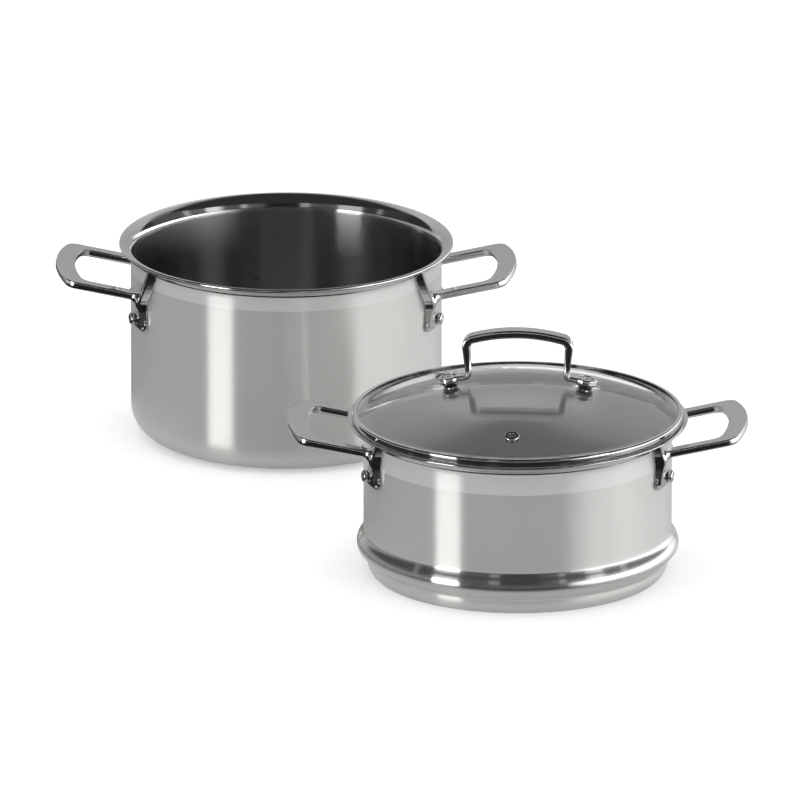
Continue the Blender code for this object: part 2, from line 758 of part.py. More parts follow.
def make_lid_handle(parts, cutters, steel, frame):
    """Bent strap handle with a round pad at each foot, bored and sunk for its screw."""
    upright = Matrix.Rotation(math.pi / 2, 4, "X")
    strap = outline_solid(
        "lid_handle", strap_outline(), STRAP_WIDTH, STRAP_EDGE, cutters, upright
    )
    frames = [matrix for side, matrix in stack_frames()]
    low = FOOT_LIFT - FOOT_PROUD
    high = FOOT_LIFT + STRAP_THICK_FOOT + FOOT_PROUD
    pad_profile = [
        (0.0, high),
        (FOOT_RADIUS - FOOT_EDGE, high),
        (FOOT_RADIUS, high - FOOT_EDGE),
        (FOOT_RADIUS, low + FOOT_EDGE),
        (FOOT_RADIUS - FOOT_EDGE, low),
        (0.0, low),
    ]
    for matrix in frames:
        pad = turned("pad_form", pad_profile, cutters, SMALL_FACETS)
        pad.matrix_world = matrix
        strap = combined(strap, pad, "UNION", cutters)
    sink_top = high + STRAP_THICK_FOOT
    sink_low = high - SCREW_HEAD_DEPTH - SEAT_GAP
    sink_profile = [
        (0.0, sink_top),
        (SCREW_HEAD + SEAT_GAP, sink_top),
        (SCREW_HEAD + SEAT_GAP, sink_low),
        (SCREW_SHANK + SEAT_GAP, sink_low),
        (SCREW_SHANK + SEAT_GAP, low - STRAP_THICK_FOOT),
        (0.0, low - STRAP_THICK_FOOT),
    ]
    for matrix in frames:
        sink = turned("screw_sink", sink_profile, cutters, SMALL_FACETS)
        sink.matrix_world = matrix
        strap = combined(strap, sink, "DIFFERENCE", cutters)
    cutters.objects.unlink(strap)
    parts.objects.link(strap)
    strap.parent = frame
    return finish(strap, steel)


def ring_profile(bore, low_radius, high_radius, low, high):
    """Plain ring or cone with a bore."""
    return [(bore, high), (high_radius, high), (low_radius, low), (bore, low)]


def screw_profile(nut_low):
    """Pan head sunk in the foot, on a shank that ends inside the cap nut."""
    top = FOOT_LIFT + STRAP_THICK_FOOT
    seat = top - SCREW_HEAD_DEPTH
    return [
        (0.0, top),
        (SCREW_HEAD_TOP, top),
        (SCREW_HEAD, top - SCREW_HEAD_DEPTH / 2),
        (SCREW_HEAD, seat),
        (SCREW_SHANK, seat),
        (SCREW_SHANK, nut_low),
        (0.0, nut_low),
    ]


def nut_profile(top):
    """Flanged cap nut with a blind bore from its top."""
    bore = SCREW_SHANK + SEAT_GAP
    bottom = top - NUT_DEPTH
    floor = bottom + NUT_FLANGE_THICK
    return [
        (0.0, floor),
        (bore, floor),
        (bore, top),
        (NUT_FLANGE, top),
        (NUT_FLANGE, top - NUT_FLANGE_THICK),
        (NUT_DOME, top - NUT_FLANGE_THICK),
        (NUT_DOME, bottom + NUT_DOME_ROUND),
        (NUT_DOME_TOP, bottom),
        (0.0, bottom),
    ]


def make_stacks(parts, steel, rubber, frame):
    """Screw, spacer, two gaskets and cap nut at each foot of the lid handle."""
    bore = SCREW_SHANK + SEAT_GAP
    gasket_top = SEAT_GAP + GASKET_THICK
    under = -GLASS_THICK - SEAT_GAP
    nut_top = under - GASKET_THICK - SEAT_GAP
    shank_end = nut_top - NUT_DEPTH + NUT_FLANGE_THICK + SEAT_GAP
    upper = ring_profile(bore, GASKET_RADIUS, GASKET_RADIUS, SEAT_GAP, gasket_top)
    spacer_top = FOOT_LIFT - FOOT_PROUD - SEAT_GAP
    spacer = ring_profile(bore, GASKET_RADIUS, SPACER_TOP, gasket_top + SEAT_GAP, spacer_top)
    lower = ring_profile(bore, NUT_FLANGE, NUT_FLANGE, under - GASKET_THICK, under)
    pieces = (
        ("lid_screw_", screw_profile(shank_end), False, steel),
        ("lid_spacer_", spacer, True, steel),
        ("lid_gasket_top_", upper, True, rubber),
        ("lid_gasket_under_", lower, True, rubber),
        ("lid_cap_nut_", nut_profile(nut_top), False, steel),
    )
    for side, matrix in stack_frames():
        for name, profile, closed, material in pieces:
            piece = turned(name + side, profile, parts, SMALL_FACETS, closed)
            piece.parent = frame
            piece.matrix_local = matrix
            finish(piece, material)


def new_frame(name, collection, place, turn, parent):
    """Empty that carries a group of pieces that move together."""
    frame = bpy.data.objects.new(name, None)
    collection.objects.link(frame)
    frame.location = place
    frame.rotation_euler.z = turn
    frame.parent = parent
    return frame


def build():
    """Model every piece of the saucepan, the insert and the lid."""
    clear_scene()
    parts = new_collection("saucepan_with_steamer")
    cutters = new_collection("cutters")
    steel = new_material("polished_steel", (0.62, 0.62, 0.61), 0.12, 1.0)
    wall_steel = new_material("satin_steel", (0.55, 0.55, 0.54), 0.24, 1.0)
    cast_steel = new_material("cast_handle_steel", (0.50, 0.50, 0.50), 0.28, 1.0)
    glass = new_material("lid_glass", (0.78, 0.82, 0.82), 0.02, 0.0, 0.9)
    rubber = new_material("gasket_rubber", (0.05, 0.05, 0.05), 0.6, 0.0)

    pot_frame = new_frame("pot_frame", parts, (0.0, 0.0, 0.0), 0.0, None)
    steamer_frame = new_frame("steamer_frame", parts, STEAMER_PLACE, 0.0, None)
    lid_frame = new_frame("lid_frame", parts, (0.0, 0.0, 0.0), LID_TURN, steamer_frame)

    make_pot_body(parts, cutters, wall_steel)
    branch = (POT_BRANCH_RISE, POT_BRANCH_SPREAD)
    make_handles(
        "pot", POT_WALL, POT_GRIP_HEIGHT, branch, pot_outline(), parts, cutters, cast_steel, pot_frame
    )
    make_rivets("pot", POT_WALL, POT_SHEET, POT_GRIP_HEIGHT, parts, steel, pot_frame)

    make_steamer_body(parts, cutters, wall_steel, steamer_frame)
    branch = (STEAMER_BRANCH_RISE, STEAMER_BRANCH_SPREAD)
    make_handles(
        "steamer",
        STEAMER_WALL,
        STEAMER_GRIP_HEIGHT,
        branch,
        steamer_outline(),
        parts,
        cutters,
        cast_steel,
        steamer_frame,
    )
    make_rivets(
        "steamer", STEAMER_WALL, STEAMER_SHEET, STEAMER_GRIP_HEIGHT, parts, steel, steamer_frame
    )

    make_glass(parts, cutters, glass, lid_frame)
    make_ring(parts, steel, lid_frame)
    make_vent(parts, steel, lid_frame)
    make_lid_handle(parts, cutters, cast_steel, lid_frame)
    make_stacks(parts, steel, rubber, lid_frame)
    bpy.context.view_layer.update()


build()
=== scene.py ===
# %% [markdown]
# # A saucepan with a steamer insert, dressed for its photograph
#
# The CAD model of this cookware is already packed as a frame: every piece has its true size and
# place. This lesson puts the finish on it. Pressed steel becomes smooth turned surfaces, the cast
# handles become one flowing skin, and the lid becomes real glass. Each step says what the thing
# is on the real object, how it could be made, and why it was made this way.
#
# The first cell loads the frame.

# %% Load the frame
import json
import math

import bmesh
import bpy
import numpy as np
from mathutils import Matrix, Vector
from mathutils.geometry import delaunay_2d_cdt

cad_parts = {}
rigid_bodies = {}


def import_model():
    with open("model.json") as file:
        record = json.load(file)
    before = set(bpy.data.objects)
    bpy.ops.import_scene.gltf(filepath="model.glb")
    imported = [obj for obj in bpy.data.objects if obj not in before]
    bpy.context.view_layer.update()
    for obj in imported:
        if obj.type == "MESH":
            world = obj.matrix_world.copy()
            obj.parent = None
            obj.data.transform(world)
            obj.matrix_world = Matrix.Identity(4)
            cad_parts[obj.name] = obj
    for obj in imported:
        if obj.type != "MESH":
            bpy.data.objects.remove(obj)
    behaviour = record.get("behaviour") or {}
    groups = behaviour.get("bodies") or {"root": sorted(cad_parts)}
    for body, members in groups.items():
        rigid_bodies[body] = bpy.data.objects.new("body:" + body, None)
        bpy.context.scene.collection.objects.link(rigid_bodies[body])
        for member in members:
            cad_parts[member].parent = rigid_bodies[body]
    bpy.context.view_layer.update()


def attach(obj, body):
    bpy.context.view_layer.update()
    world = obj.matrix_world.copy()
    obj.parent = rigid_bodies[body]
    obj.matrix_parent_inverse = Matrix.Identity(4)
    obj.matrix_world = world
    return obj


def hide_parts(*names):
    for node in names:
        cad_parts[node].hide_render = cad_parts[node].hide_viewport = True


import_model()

# %% [markdown]
# A photograph taken with a long lens has almost no perspective, which is how cookware is usually
# shown. So the camera stands 20 m away with a very long lens. Its height above the horizon was
# worked out from how flat the round rims look: 17.5 degrees.

# %% Camera
CAMERA_DISTANCE = 20.0
CAMERA_ELEVATION = math.radians(17.5)
LENS_MM = 1363.0
LOOK_AT = Vector((0.0750, 0.0, 0.02045))


def make_camera():
    """A long lens looking along +Y and down at the middle of the pair."""
    data = bpy.data.cameras.new("camera")
    data.lens = LENS_MM
    data.sensor_width = 36.0
    data.clip_start = 1.0
    data.clip_end = 100.0
    camera = bpy.data.objects.new("camera", data)
    bpy.context.scene.collection.objects.link(camera)
    back = Vector((0.0, -math.cos(CAMERA_ELEVATION), math.sin(CAMERA_ELEVATION)))
    camera.location = LOOK_AT + back * CAMERA_DISTANCE
    camera.rotation_euler = (math.pi / 2 - CAMERA_ELEVATION, 0.0, 0.0)
    bpy.context.scene.camera = camera
    return camera


make_camera()
print("Frame is about", round(36.0 / LENS_MM * CAMERA_DISTANCE * 1000), "mm wide at the pan")

# %% [markdown]
# Next come the sizes. They are the CAD model's own, in metres, repeated here because this file
# reads nothing but the frame. Both vessels share one bore, so that the insert's skirt drops into
# the pan, and its bead sits on the pan's lip.

# %% Sizes of the two vessels
POT_BORE = 0.1000
POT_SHEET = 0.0025
POT_WALL = POT_BORE + POT_SHEET
POT_HEIGHT = 0.1305
POT_LIP = POT_WALL + 0.0077
POT_FLARE = 0.0080
POT_CORNER = 0.0200
STEAMER_SHEET = 0.0012
STEAMER_WALL = POT_BORE + 0.0003
STEAMER_HEIGHT = 0.1034
STEAMER_LIP = STEAMER_WALL + 0.0104
STEAMER_FLARE = 0.0094
STEAMER_PLACE = np.array([0.1515, -0.3006, 0.0])
SKIRT = POT_BORE - 0.0022
SKIRT_CORNER = 0.0098
SKIRT_TURN = math.radians(52)
SKIRT_FILLET = 0.0018
BEAD = POT_WALL + 0.0022
BEAD_CURVE = 0.0089
BEAD_UNDER = 0.0049
BEAD_SEAT = math.radians(42)
BEAD_HEIGHT = 0.0194
BEAD_SHOULDER = 0.0077
LIP_TURN = math.radians(75)
SEAT_GAP = 0.0003
print("Pan holds about", round(math.pi * POT_BORE**2 * 0.128 * 1000, 1), "litres to the brim")

# %% [markdown]
# Two small tools do most of the work. The first turns a whole grid of points into a mesh: the
# grid's rows and columns are two parameters, and numpy joins them into four-sided faces at once.
# The second turns a profile about an axis, which is how every pressed or lathe-made piece is
# really made.

# %% Grid and lathe tools
UV_PER_METRE = 10.0
WELD = 1e-6
SHARPEST_MITRE = 0.3


def grid_faces(rows, columns):
    """Corner numbers of every face of a grid: each point with its right and upper neighbours."""
    index = np.arange(rows * columns).reshape(rows, columns)
    corners = (index[:-1, :-1], index[:-1, 1:], index[1:, 1:], index[1:, :-1])
    return np.stack(corners, axis=-1).reshape(-1, 4)


def new_object(name, points, faces):
    """An object at the origin whose smooth mesh has these points and faces."""
    mesh = bpy.data.meshes.new(name)
    mesh.from_pydata(points.tolist(), [], faces.tolist())
    mesh.shade_smooth()
    item = bpy.data.objects.new(name, mesh)
    bpy.context.scene.collection.objects.link(item)
    return item


def put_uv(mesh, across, along):
    """Write a UV map from two arrays that hold one value for each point."""
    layer = mesh.uv_layers.new(name="brushing")
    corner = np.zeros(len(mesh.loops), dtype=np.int32)
    mesh.loops.foreach_get("vertex_index", corner)
    layer.data.foreach_set("uv", np.stack([across[corner], along[corner]], axis=-1).ravel())


def close_up(item, distance=WELD):
    """Merge doubled points along seams and poles, and turn every face outwards."""
    work = bmesh.new()
    work.from_mesh(item.data)
    bmesh.ops.remove_doubles(work, verts=work.verts, dist=distance)
    bmesh.ops.recalc_face_normals(work, faces=work.faces)
    work.to_mesh(item.data)
    work.free()


def turned(name, profile, place=None, steps=192, slots=None):
    """Turn a profile of (radius, height) about Z: x = r cos a, y = r sin a, z = h.

    The UV map holds the length along the profile and the turn, so that a brushed finish knows
    which way its fine lines run. slots gives each stretch of the profile its material number.
    place is a matrix that is applied to the mesh itself.
    """
    profile = np.asarray(profile, dtype=float)
    angle = np.linspace(0.0, math.tau, steps + 1)
    radius, height = profile[:, 0, None], profile[:, 1, None]
    grid = np.stack(
        [radius * np.cos(angle), radius * np.sin(angle), height + 0.0 * angle], axis=-1
    )
    length = np.concatenate([[0.0], np.cumsum(np.hypot(*np.diff(profile, axis=0).T))])
    item = new_object(name, grid.reshape(-1, 3), grid_faces(len(profile), steps + 1))
    along = np.repeat(length, steps + 1)
    around = np.tile(angle / math.tau, len(profile))
    put_uv(item.data, along * UV_PER_METRE, around)
    if slots is not None:
        item.data.polygons.foreach_set("material_index", np.repeat(slots, steps).astype(np.int32))
    close_up(item)
    if place is not None:
        item.data.transform(place)
    return item


def arc(centre, radius, start, end, steps):
    """Points of an arc, centre + radius * (cos a, sin a), from one angle to another."""
    angle = np.linspace(start, end, steps + 1)
    return np.stack(
        [centre[0] + radius * np.cos(angle), centre[1] + radius * np.sin(angle)], axis=-1
    )


def offset_line(points, distance):
    """A line moved to its left: each point goes out by distance / cosine of half its turn."""
    points = np.asarray(points, dtype=float)
    step = np.diff(points, axis=0)
    step /= np.linalg.norm(step, axis=1, keepdims=True)
    before = np.concatenate([step[:1], step])
    after = np.concatenate([step, step[-1:]])
    side = np.stack([-(before + after)[:, 1], (before + after)[:, 0]], axis=-1)
    side /= np.linalg.norm(side, axis=1, keepdims=True)
    mitre = np.sum(side * np.stack([-before[:, 1], before[:, 0]], axis=-1), axis=1)
    return points + side * (distance / np.maximum(mitre, SHARPEST_MITRE))[:, None]


print("A turned ring of 10 points and 192 steps has", len(grid_faces(10, 193)), "faces")

# %% [markdown]
# The flared lip is the pan's most characteristic line. Sheet is spun outwards over a small
# radius until it stands 75 degrees from the wall, then ends in a rounded, polished edge. The same
# line serves both vessels. Below it the pan's wall runs straight down into a large corner.

# %% Profiles of pressed sheet
def lip_line(wall, lip, height, flare, sheet):
    """Outer side of a flared lip: a short straight run, then an arc into the wall."""
    half = sheet / 2
    reach = lip - half + half * math.cos(LIP_TURN)
    run = (reach - (wall + flare) + flare * math.cos(LIP_TURN)) / math.sin(LIP_TURN)
    rise = (flare + half) * math.sin(LIP_TURN) + run * math.cos(LIP_TURN)
    curve = arc((wall + flare, height - half - rise), flare, math.pi - LIP_TURN, math.pi, 20)
    end = curve[0] + np.array([math.sin(LIP_TURN), math.cos(LIP_TURN)]) * run
    return np.concatenate([[end], curve])


def sheet_profile(outer, sheet):
    """Profile of sheet of one thickness: up the inside, over the rounded edge, down outside."""
    inner = offset_line(outer, -sheet)
    inner[-1] = (0.0, outer[-1][1] + sheet)
    middle = (outer[0] + inner[0]) / 2
    start = math.atan2(*(inner[0] - middle)[::-1])
    nose = arc(middle, sheet / 2, start, start - math.pi, 12)
    return np.concatenate([inner[::-1], nose[1:-1], outer]), len(inner), len(nose) - 2


def pot_outline():
    """Outer side of the pan, from its lip to the middle of its base."""
    line = lip_line(POT_WALL, POT_LIP, POT_HEIGHT, POT_FLARE, POT_SHEET)
    corner = arc((POT_WALL - POT_CORNER, POT_CORNER), POT_CORNER, 0.0, -math.pi / 2, 24)
    wall = np.stack([np.full(9, POT_WALL), np.linspace(line[-1][1], POT_CORNER, 11)[1:-1]], axis=-1)
    base = np.stack([np.linspace(POT_WALL - POT_CORNER, 0.0, 12)[1:], np.zeros(11)], axis=-1)
    return np.concatenate([line, wall, corner, base])


pot_line = pot_outline()
pot_profile, pot_inner_count, pot_nose_count = sheet_profile(pot_line, POT_SHEET)
lip_width = 2000 * pot_profile[:, 0].max()
print("Pan profile:", len(pot_profile), "points, lip", round(lip_width), "mm wide")

# %% [markdown]
# Steel needs two kinds of finish here. The walls are brushed round and round: the fine lines
# spread a reflection up and down but keep it sharp from side to side, which is why a lamp shows as
# a tall crisp stripe. Principled's anisotropy does exactly that, when its tangent runs up the wall.
# Brushed steel also scatters part of the light evenly, which a metallic value of about a half
# stands for. The lip, the handles and the rim ring are polished like a mirror. No metal is the same
# all over, so noise lets every roughness wander a little.

# %% Material helpers
def principled(name, colour, roughness, metallic=1.0, **more):
    """A Principled material whose constant values sit on the shader's own sockets."""
    material = bpy.data.materials.new(name)
    material.use_nodes = True
    shader = material.node_tree.nodes["Principled BSDF"]
    shader.inputs["Base Color"].default_value = (*colour, 1.0)
    shader.inputs["Roughness"].default_value = roughness
    shader.inputs["Metallic"].default_value = metallic
    for socket, value in more.items():
        shader.inputs[socket.replace("_", " ")].default_value = value
    return material, material.node_tree, shader


def roughness_marks(tree, shader, low, high, grain):
    """Roughness that wanders between two values: noise on the object's coordinates * grain."""
    place = tree.nodes.new("ShaderNodeTexCoord")
    stretch = tree.nodes.new("ShaderNodeMapping")
    stretch.inputs["Scale"].default_value = grain
    noise = tree.nodes.new("ShaderNodeTexNoise")
    noise.inputs["Scale"].default_value = 1.0
    noise.inputs["Detail"].default_value = 3.0
    span = tree.nodes.new("ShaderNodeMapRange")
    span.inputs["From Min"].default_value = 0.3
    span.inputs["From Max"].default_value = 0.7
    span.inputs["To Min"].default_value = low
    span.inputs["To Max"].default_value = high
    tree.links.new(place.outputs["Object"], stretch.inputs["Vector"])
    tree.links.new(stretch.outputs["Vector"], noise.inputs["Vector"])
    tree.links.new(noise.outputs["Fac"], span.inputs["Value"])
    tree.links.new(span.outputs["Result"], shader.inputs["Roughness"])


def along_profile(tree, shader):
    """Let the shader's tangent run along the turned profile, across the brushing lines."""
    tangent = tree.nodes.new("ShaderNodeTangent")
    tangent.direction_type = "UV_MAP"
    tangent.uv_map = "brushing"
    tree.links.new(tangent.outputs["Tangent"], shader.inputs["Tangent"])


BRUSH_GRAIN = (6.0, 6.0, 900.0)
print("Brushing lines are about", round(1000 / BRUSH_GRAIN[2], 1), "mm high")

# %% [markdown]
# With these helpers each finish is one line: its colour, the two values between which its
# roughness wanders, how metallic it is and how strongly it is brushed. Steel is a little warm, and
# the soft band under the lip is paler, because polish hasn't reached it.

# %% Steel finishes
def polished(name, colour, low, high, grain, metallic=1.0):
    """A plain finish whose roughness wanders between two values in grains per metre."""
    material, tree, shader = principled(name, colour, (low + high) / 2, metallic)
    roughness_marks(tree, shader, low, high, (grain,) * 3)
    return material


def brushed(name, colour, low, high, metallic=1.0, anisotropy=1.0, grain=BRUSH_GRAIN):
    """A finish brushed round a turned piece, with fine level lines that differ a little."""
    material, tree, shader = principled(
        name, colour, (low + high) / 2, metallic, Anisotropic=anisotropy
    )
    roughness_marks(tree, shader, low, high, grain)
    along_profile(tree, shader)
    return material


STEEL = (0.63, 0.625, 0.61)
TURNED_GRAIN = (500.0, 500.0, 1.0)

wall_steel = brushed("brushed_wall", STEEL, 0.28, 0.30, 0.45)
band_steel = brushed("soft_band", (0.72, 0.715, 0.70), 0.28, 0.30, 0.32)
bead_steel = brushed("polished_bead", (0.66, 0.655, 0.64), 0.19, 0.21, 0.96)
inside_steel = brushed("polished_inside", (0.58, 0.575, 0.565), 0.218, 0.222)
base_steel = brushed("turned_base", STEEL, 0.27, 0.33, 0.8, 0.9, TURNED_GRAIN)
mirror_steel = polished("mirror_edge", (0.70, 0.70, 0.69), 0.09, 0.12, 90.0)
cast_steel = polished("cast_handle", (0.66, 0.66, 0.65), 0.10, 0.15, 160.0)
print("Brushed:", [m.name for m in (wall_steel, band_steel, bead_steel, inside_steel, base_steel)])

# %% [markdown]
# Now the pan itself. On the real one a bonded disc is pressed to shape in one go, so the right
# model is one profile turned about Z. The same profile carries the finishes: its inside is
# polished, its lip is mirror bright, a narrow band under the lip is softer than the brushed wall.

# %% Pan body
def assign(item, *materials):
    """Give a new piece its list of materials, in the order of its face numbers."""
    for material in materials:
        item.data.materials.append(material)


AROUND = 256
BAND_DROP = 0.0171
LIP_DROP = 0.0075
INSIDE, LIP, BAND, WALL, BASE, FLOOR, BEAD_FINISH = range(7)


def vessel_slots(profile, inner_count, nose_count, band_low, base_from, bead_from=1.0):
    """Material number for each stretch of a vessel's profile, from the place of its middle."""
    radius, height = ((profile[:-1] + profile[1:]) / 2).T
    lip_low = profile[:, 1].max() - LIP_DROP
    number = np.arange(len(radius))
    outside = number >= inner_count + nose_count
    slot = np.full(len(radius), INSIDE)
    slot[(height > lip_low) & ~outside] = LIP
    slot[number >= inner_count - 1] = LIP
    slot[outside & (height < lip_low)] = BAND
    slot[outside & (height < band_low)] = WALL
    slot[outside & (height < 1e-4) & (radius < base_from)] = BASE
    slot[outside & (radius > bead_from) & (height < band_low)] = BEAD_FINISH
    return slot


def with_break(profile, height, start):
    """Add a point where the outer wall crosses a height, so that a finish can end there."""
    for index in range(start, len(profile) - 1):
        high, low = profile[index], profile[index + 1]
        if high[1] > height >= low[1]:
            share = (high[1] - height) / (high[1] - low[1])
            return np.insert(profile, index + 1, high + (low - high) * share, axis=0)
    return profile


band_low = POT_HEIGHT - BAND_DROP
pot_profile = with_break(pot_profile, band_low, pot_inner_count + pot_nose_count)
pot_slots = vessel_slots(
    pot_profile, pot_inner_count, pot_nose_count, band_low, POT_WALL - POT_CORNER
)
pot_body = turned("pan_body", pot_profile, steps=AROUND, slots=pot_slots)
assign(pot_body, inside_steel, mirror_steel, band_steel, wall_steel, base_steel)
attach(pot_body, "pot")
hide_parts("pot_body")
print("Pan body:", len(pot_body.data.polygons), "faces")

# %% [markdown]
# Litre marks are etched inside the pan. Etching leaves a thin dark skin on the steel, so each
# mark is a slab a tenth of a millimetre thick. Letters can't be turned, so Blender's own font
# draws them flat, and numpy then wraps the flat letters round the bore.

# %% Volume marks
MARK_THICK = 0.0001
MARK_SIZE = 0.0052
MARK_SIDE = -0.0213
MARK_HEIGHTS = {3.0: 0.1040, 2.5: 0.0885, 2.0: 0.0730}


def wrapped_text(name, text, across, height, size):
    """Flat letters wrapped round the bore: x = r sin a, y = r cos a, where a = across / bore."""
    letters = bpy.data.curves.new(name, "FONT")
    letters.body = text
    letters.size = size
    letters.space_character = 1.1
    letters.extrude = MARK_THICK / 2
    letters.align_x = "CENTER"
    flat = bpy.data.objects.new(name + "_flat", letters)
    bpy.context.scene.collection.objects.link(flat)
    bpy.context.view_layer.update()
    graph = bpy.context.evaluated_depsgraph_get()
    mesh = bpy.data.meshes.new_from_object(flat.evaluated_get(graph))
    bpy.data.objects.remove(flat, do_unlink=True)
    item = bpy.data.objects.new(name, mesh)
    bpy.context.scene.collection.objects.link(item)
    point = np.zeros(len(mesh.vertices) * 3)
    mesh.vertices.foreach_get("co", point)
    along, up, out = point.reshape(-1, 3).T
    angle = (across + along) / POT_BORE
    radius = POT_BORE - out
    bent = np.stack([radius * np.sin(angle), radius * np.cos(angle), height + up], axis=-1)
    mesh.vertices.foreach_set("co", bent.ravel())
    close_up(item)
    return item


etched = polished("etched_mark", (0.11, 0.11, 0.108), 0.45, 0.65, 900.0, 0.7)
for litres, height in MARK_HEIGHTS.items():
    name = "mark_" + str(litres).replace(".", "_")
    mark = wrapped_text(name, str(litres) + "L", MARK_SIDE, height, MARK_SIZE)
    assign(mark, etched)
    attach(mark, "pot")
litre_height = 1 / (math.pi * POT_BORE**2)
print("One litre stands", round(litre_height, 1), "mm high in the pan")

# %% [markdown]
# The insert is pressed from thinner sheet. A rounded bead runs round its wall, which sits on the
# pan's lip, and below it a narrower skirt drops inside. All of that is one profile again: arcs that
# meet without a corner, as sheet does when it is rolled over a tool.

# %% Insert profile
FLOOR_EDGE = 0.0720
STEAMER_BAND = 0.0216
BASE_EDGE = 0.0900
BEAD_FROM = STEAMER_WALL + 0.0002


def steamer_outline():
    """Outer side of the insert: lip, wall, shoulder, bead, sloping seat, skirt and base."""
    line = lip_line(STEAMER_WALL, STEAMER_LIP, STEAMER_HEIGHT, STEAMER_FLARE, STEAMER_SHEET)
    bead_centre = np.array([BEAD - BEAD_CURVE, BEAD_HEIGHT])
    across = STEAMER_WALL + BEAD_SHOULDER - bead_centre[0]
    turn = math.acos(across / (BEAD_CURVE + BEAD_SHOULDER))
    up = math.sin(turn) * (BEAD_CURVE + BEAD_SHOULDER)
    shoulder = arc(
        (STEAMER_WALL + BEAD_SHOULDER, BEAD_HEIGHT + up), BEAD_SHOULDER, math.pi, math.pi + turn, 12
    )
    bead = arc(bead_centre, BEAD_CURVE, turn, 0.0, 16)[1:]
    under = arc((BEAD - BEAD_UNDER, BEAD_HEIGHT), BEAD_UNDER, 0.0, -BEAD_SEAT, 12)[1:]
    heel = under[-1][1] - (under[-1][0] - SKIRT) / math.tan(BEAD_SEAT)
    tip = heel - SKIRT_FILLET * math.tan(BEAD_SEAT / 2)
    inward = arc((SKIRT + SKIRT_FILLET, tip), SKIRT_FILLET, math.pi - BEAD_SEAT, math.pi, 8)
    rise = SKIRT_CORNER * math.sin(SKIRT_TURN)
    corner = arc((SKIRT - SKIRT_CORNER, rise), SKIRT_CORNER, 0.0, -SKIRT_TURN, 14)
    top = np.linspace(line[-1][1], shoulder[0][1], 10)[1:-1]
    wall = np.stack([np.full(len(top), STEAMER_WALL), top], axis=-1)
    base = np.stack([np.linspace(corner[-1][0], FLOOR_EDGE, 4)[1:], np.zeros(3)], axis=-1)
    return np.concatenate([line, wall, shoulder, bead, under, inward, corner, base])


steamer_line = steamer_outline()
steamer_inner = offset_line(steamer_line, -STEAMER_SHEET)
steamer_inner[-1] = (FLOOR_EDGE, STEAMER_SHEET)
edge_middle = (steamer_line[0] + steamer_inner[0]) / 2
edge_start = math.atan2(*(steamer_inner[0] - edge_middle)[::-1])
edge = arc(edge_middle, STEAMER_SHEET / 2, edge_start, edge_start - math.pi, 8)
steamer_profile = np.concatenate([steamer_inner[::-1], edge[1:-1], steamer_line])
band_low = STEAMER_HEIGHT - STEAMER_BAND
first_outside = len(steamer_inner) + len(edge) - 2
steamer_profile = with_break(steamer_profile, band_low, first_outside)
steamer_slots = vessel_slots(
    steamer_profile, len(steamer_inner), len(edge) - 2, band_low, BASE_EDGE, BEAD_FROM
)
print("Insert profile:", len(steamer_profile), "points")

# %% [markdown]
# The insert's floor is perforated for the steam. A floor with holes can't be turned, so it is
# drawn as a flat sheet with round holes, triangulated between the hole edges, and given its
# thickness: the same triangles again below, and a short wall in each hole.

# %% Perforated floor
FLOOR_HOLE = 0.0030
FLOOR_PITCH = 0.0210
HOLE_SIDES = 28


def floor_holes():
    """Centres of the steam holes: one in the middle, then rings of six, twelve and eighteen."""
    rings = [np.zeros((1, 2))]
    for ring in (1, 2, 3):
        angle = math.tau * (np.arange(6 * ring) + 0.5 * (ring % 2)) / (6 * ring)
        rings.append(np.stack([np.cos(angle), np.sin(angle)], axis=-1) * ring * FLOOR_PITCH)
    return np.concatenate(rings)


def perforated_floor(steps):
    """Flat disc with round holes as points and triangles, and the loops of its edges."""
    circle = np.linspace(0.0, math.tau, steps, endpoint=False)
    outer = np.stack([np.cos(circle), np.sin(circle)], axis=-1) * FLOOR_EDGE
    turn = np.linspace(0.0, math.tau, HOLE_SIDES, endpoint=False)
    ring = np.stack([np.cos(turn), np.sin(turn)], axis=-1) * FLOOR_HOLE
    holes = (floor_holes()[:, None, :] + ring[None]).reshape(-1, 2)
    points = np.concatenate([outer, holes])
    loops = [np.arange(steps)]
    first = steps + np.arange(len(floor_holes())) * HOLE_SIDES
    loops += [start + np.arange(HOLE_SIDES) for start in first]
    edges = np.concatenate([np.stack([loop, np.roll(loop, -1)], axis=-1) for loop in loops])
    corners = [Vector(point) for point in points.tolist()]
    made = delaunay_2d_cdt(corners, edges.tolist(), [], 0, 1e-7)
    flat = np.array([tuple(p) for p in made[0]])
    faces = np.array(made[2])
    middle = flat[faces].mean(axis=1)
    gap = np.linalg.norm(middle[:, None, :] - floor_holes()[None], axis=-1).min(axis=1)
    inside = (gap > FLOOR_HOLE) & (np.linalg.norm(middle, axis=1) < FLOOR_EDGE)
    return flat, faces[inside], loops


def floor_shell(steps):
    """The perforated disc given its thickness: top, underside and a short wall in each hole."""
    flat, faces, loops = perforated_floor(steps)
    count = len(flat)
    top = np.column_stack([flat, np.full(count, STEAMER_SHEET)])
    low = np.column_stack([flat, np.zeros(count)])
    walls = []
    for loop in loops[1:]:
        after = np.roll(loop, -1)
        walls.append(np.stack([loop, after, after + count, loop + count], axis=-1))
    quads = np.concatenate(walls)
    return np.concatenate([top, low]), faces, faces[:, ::-1] + count, quads


print("Steam holes:", len(floor_holes()), "of", round(FLOOR_HOLE * 2000, 1), "mm")

# %% [markdown]
# Vessel and floor are now joined. The floor's outer circle has as many points as the turned
# vessel, so their edges fall on each other and merge. Deep inside, the press leaves the steel more
# satin, so its metallic value is lower there.

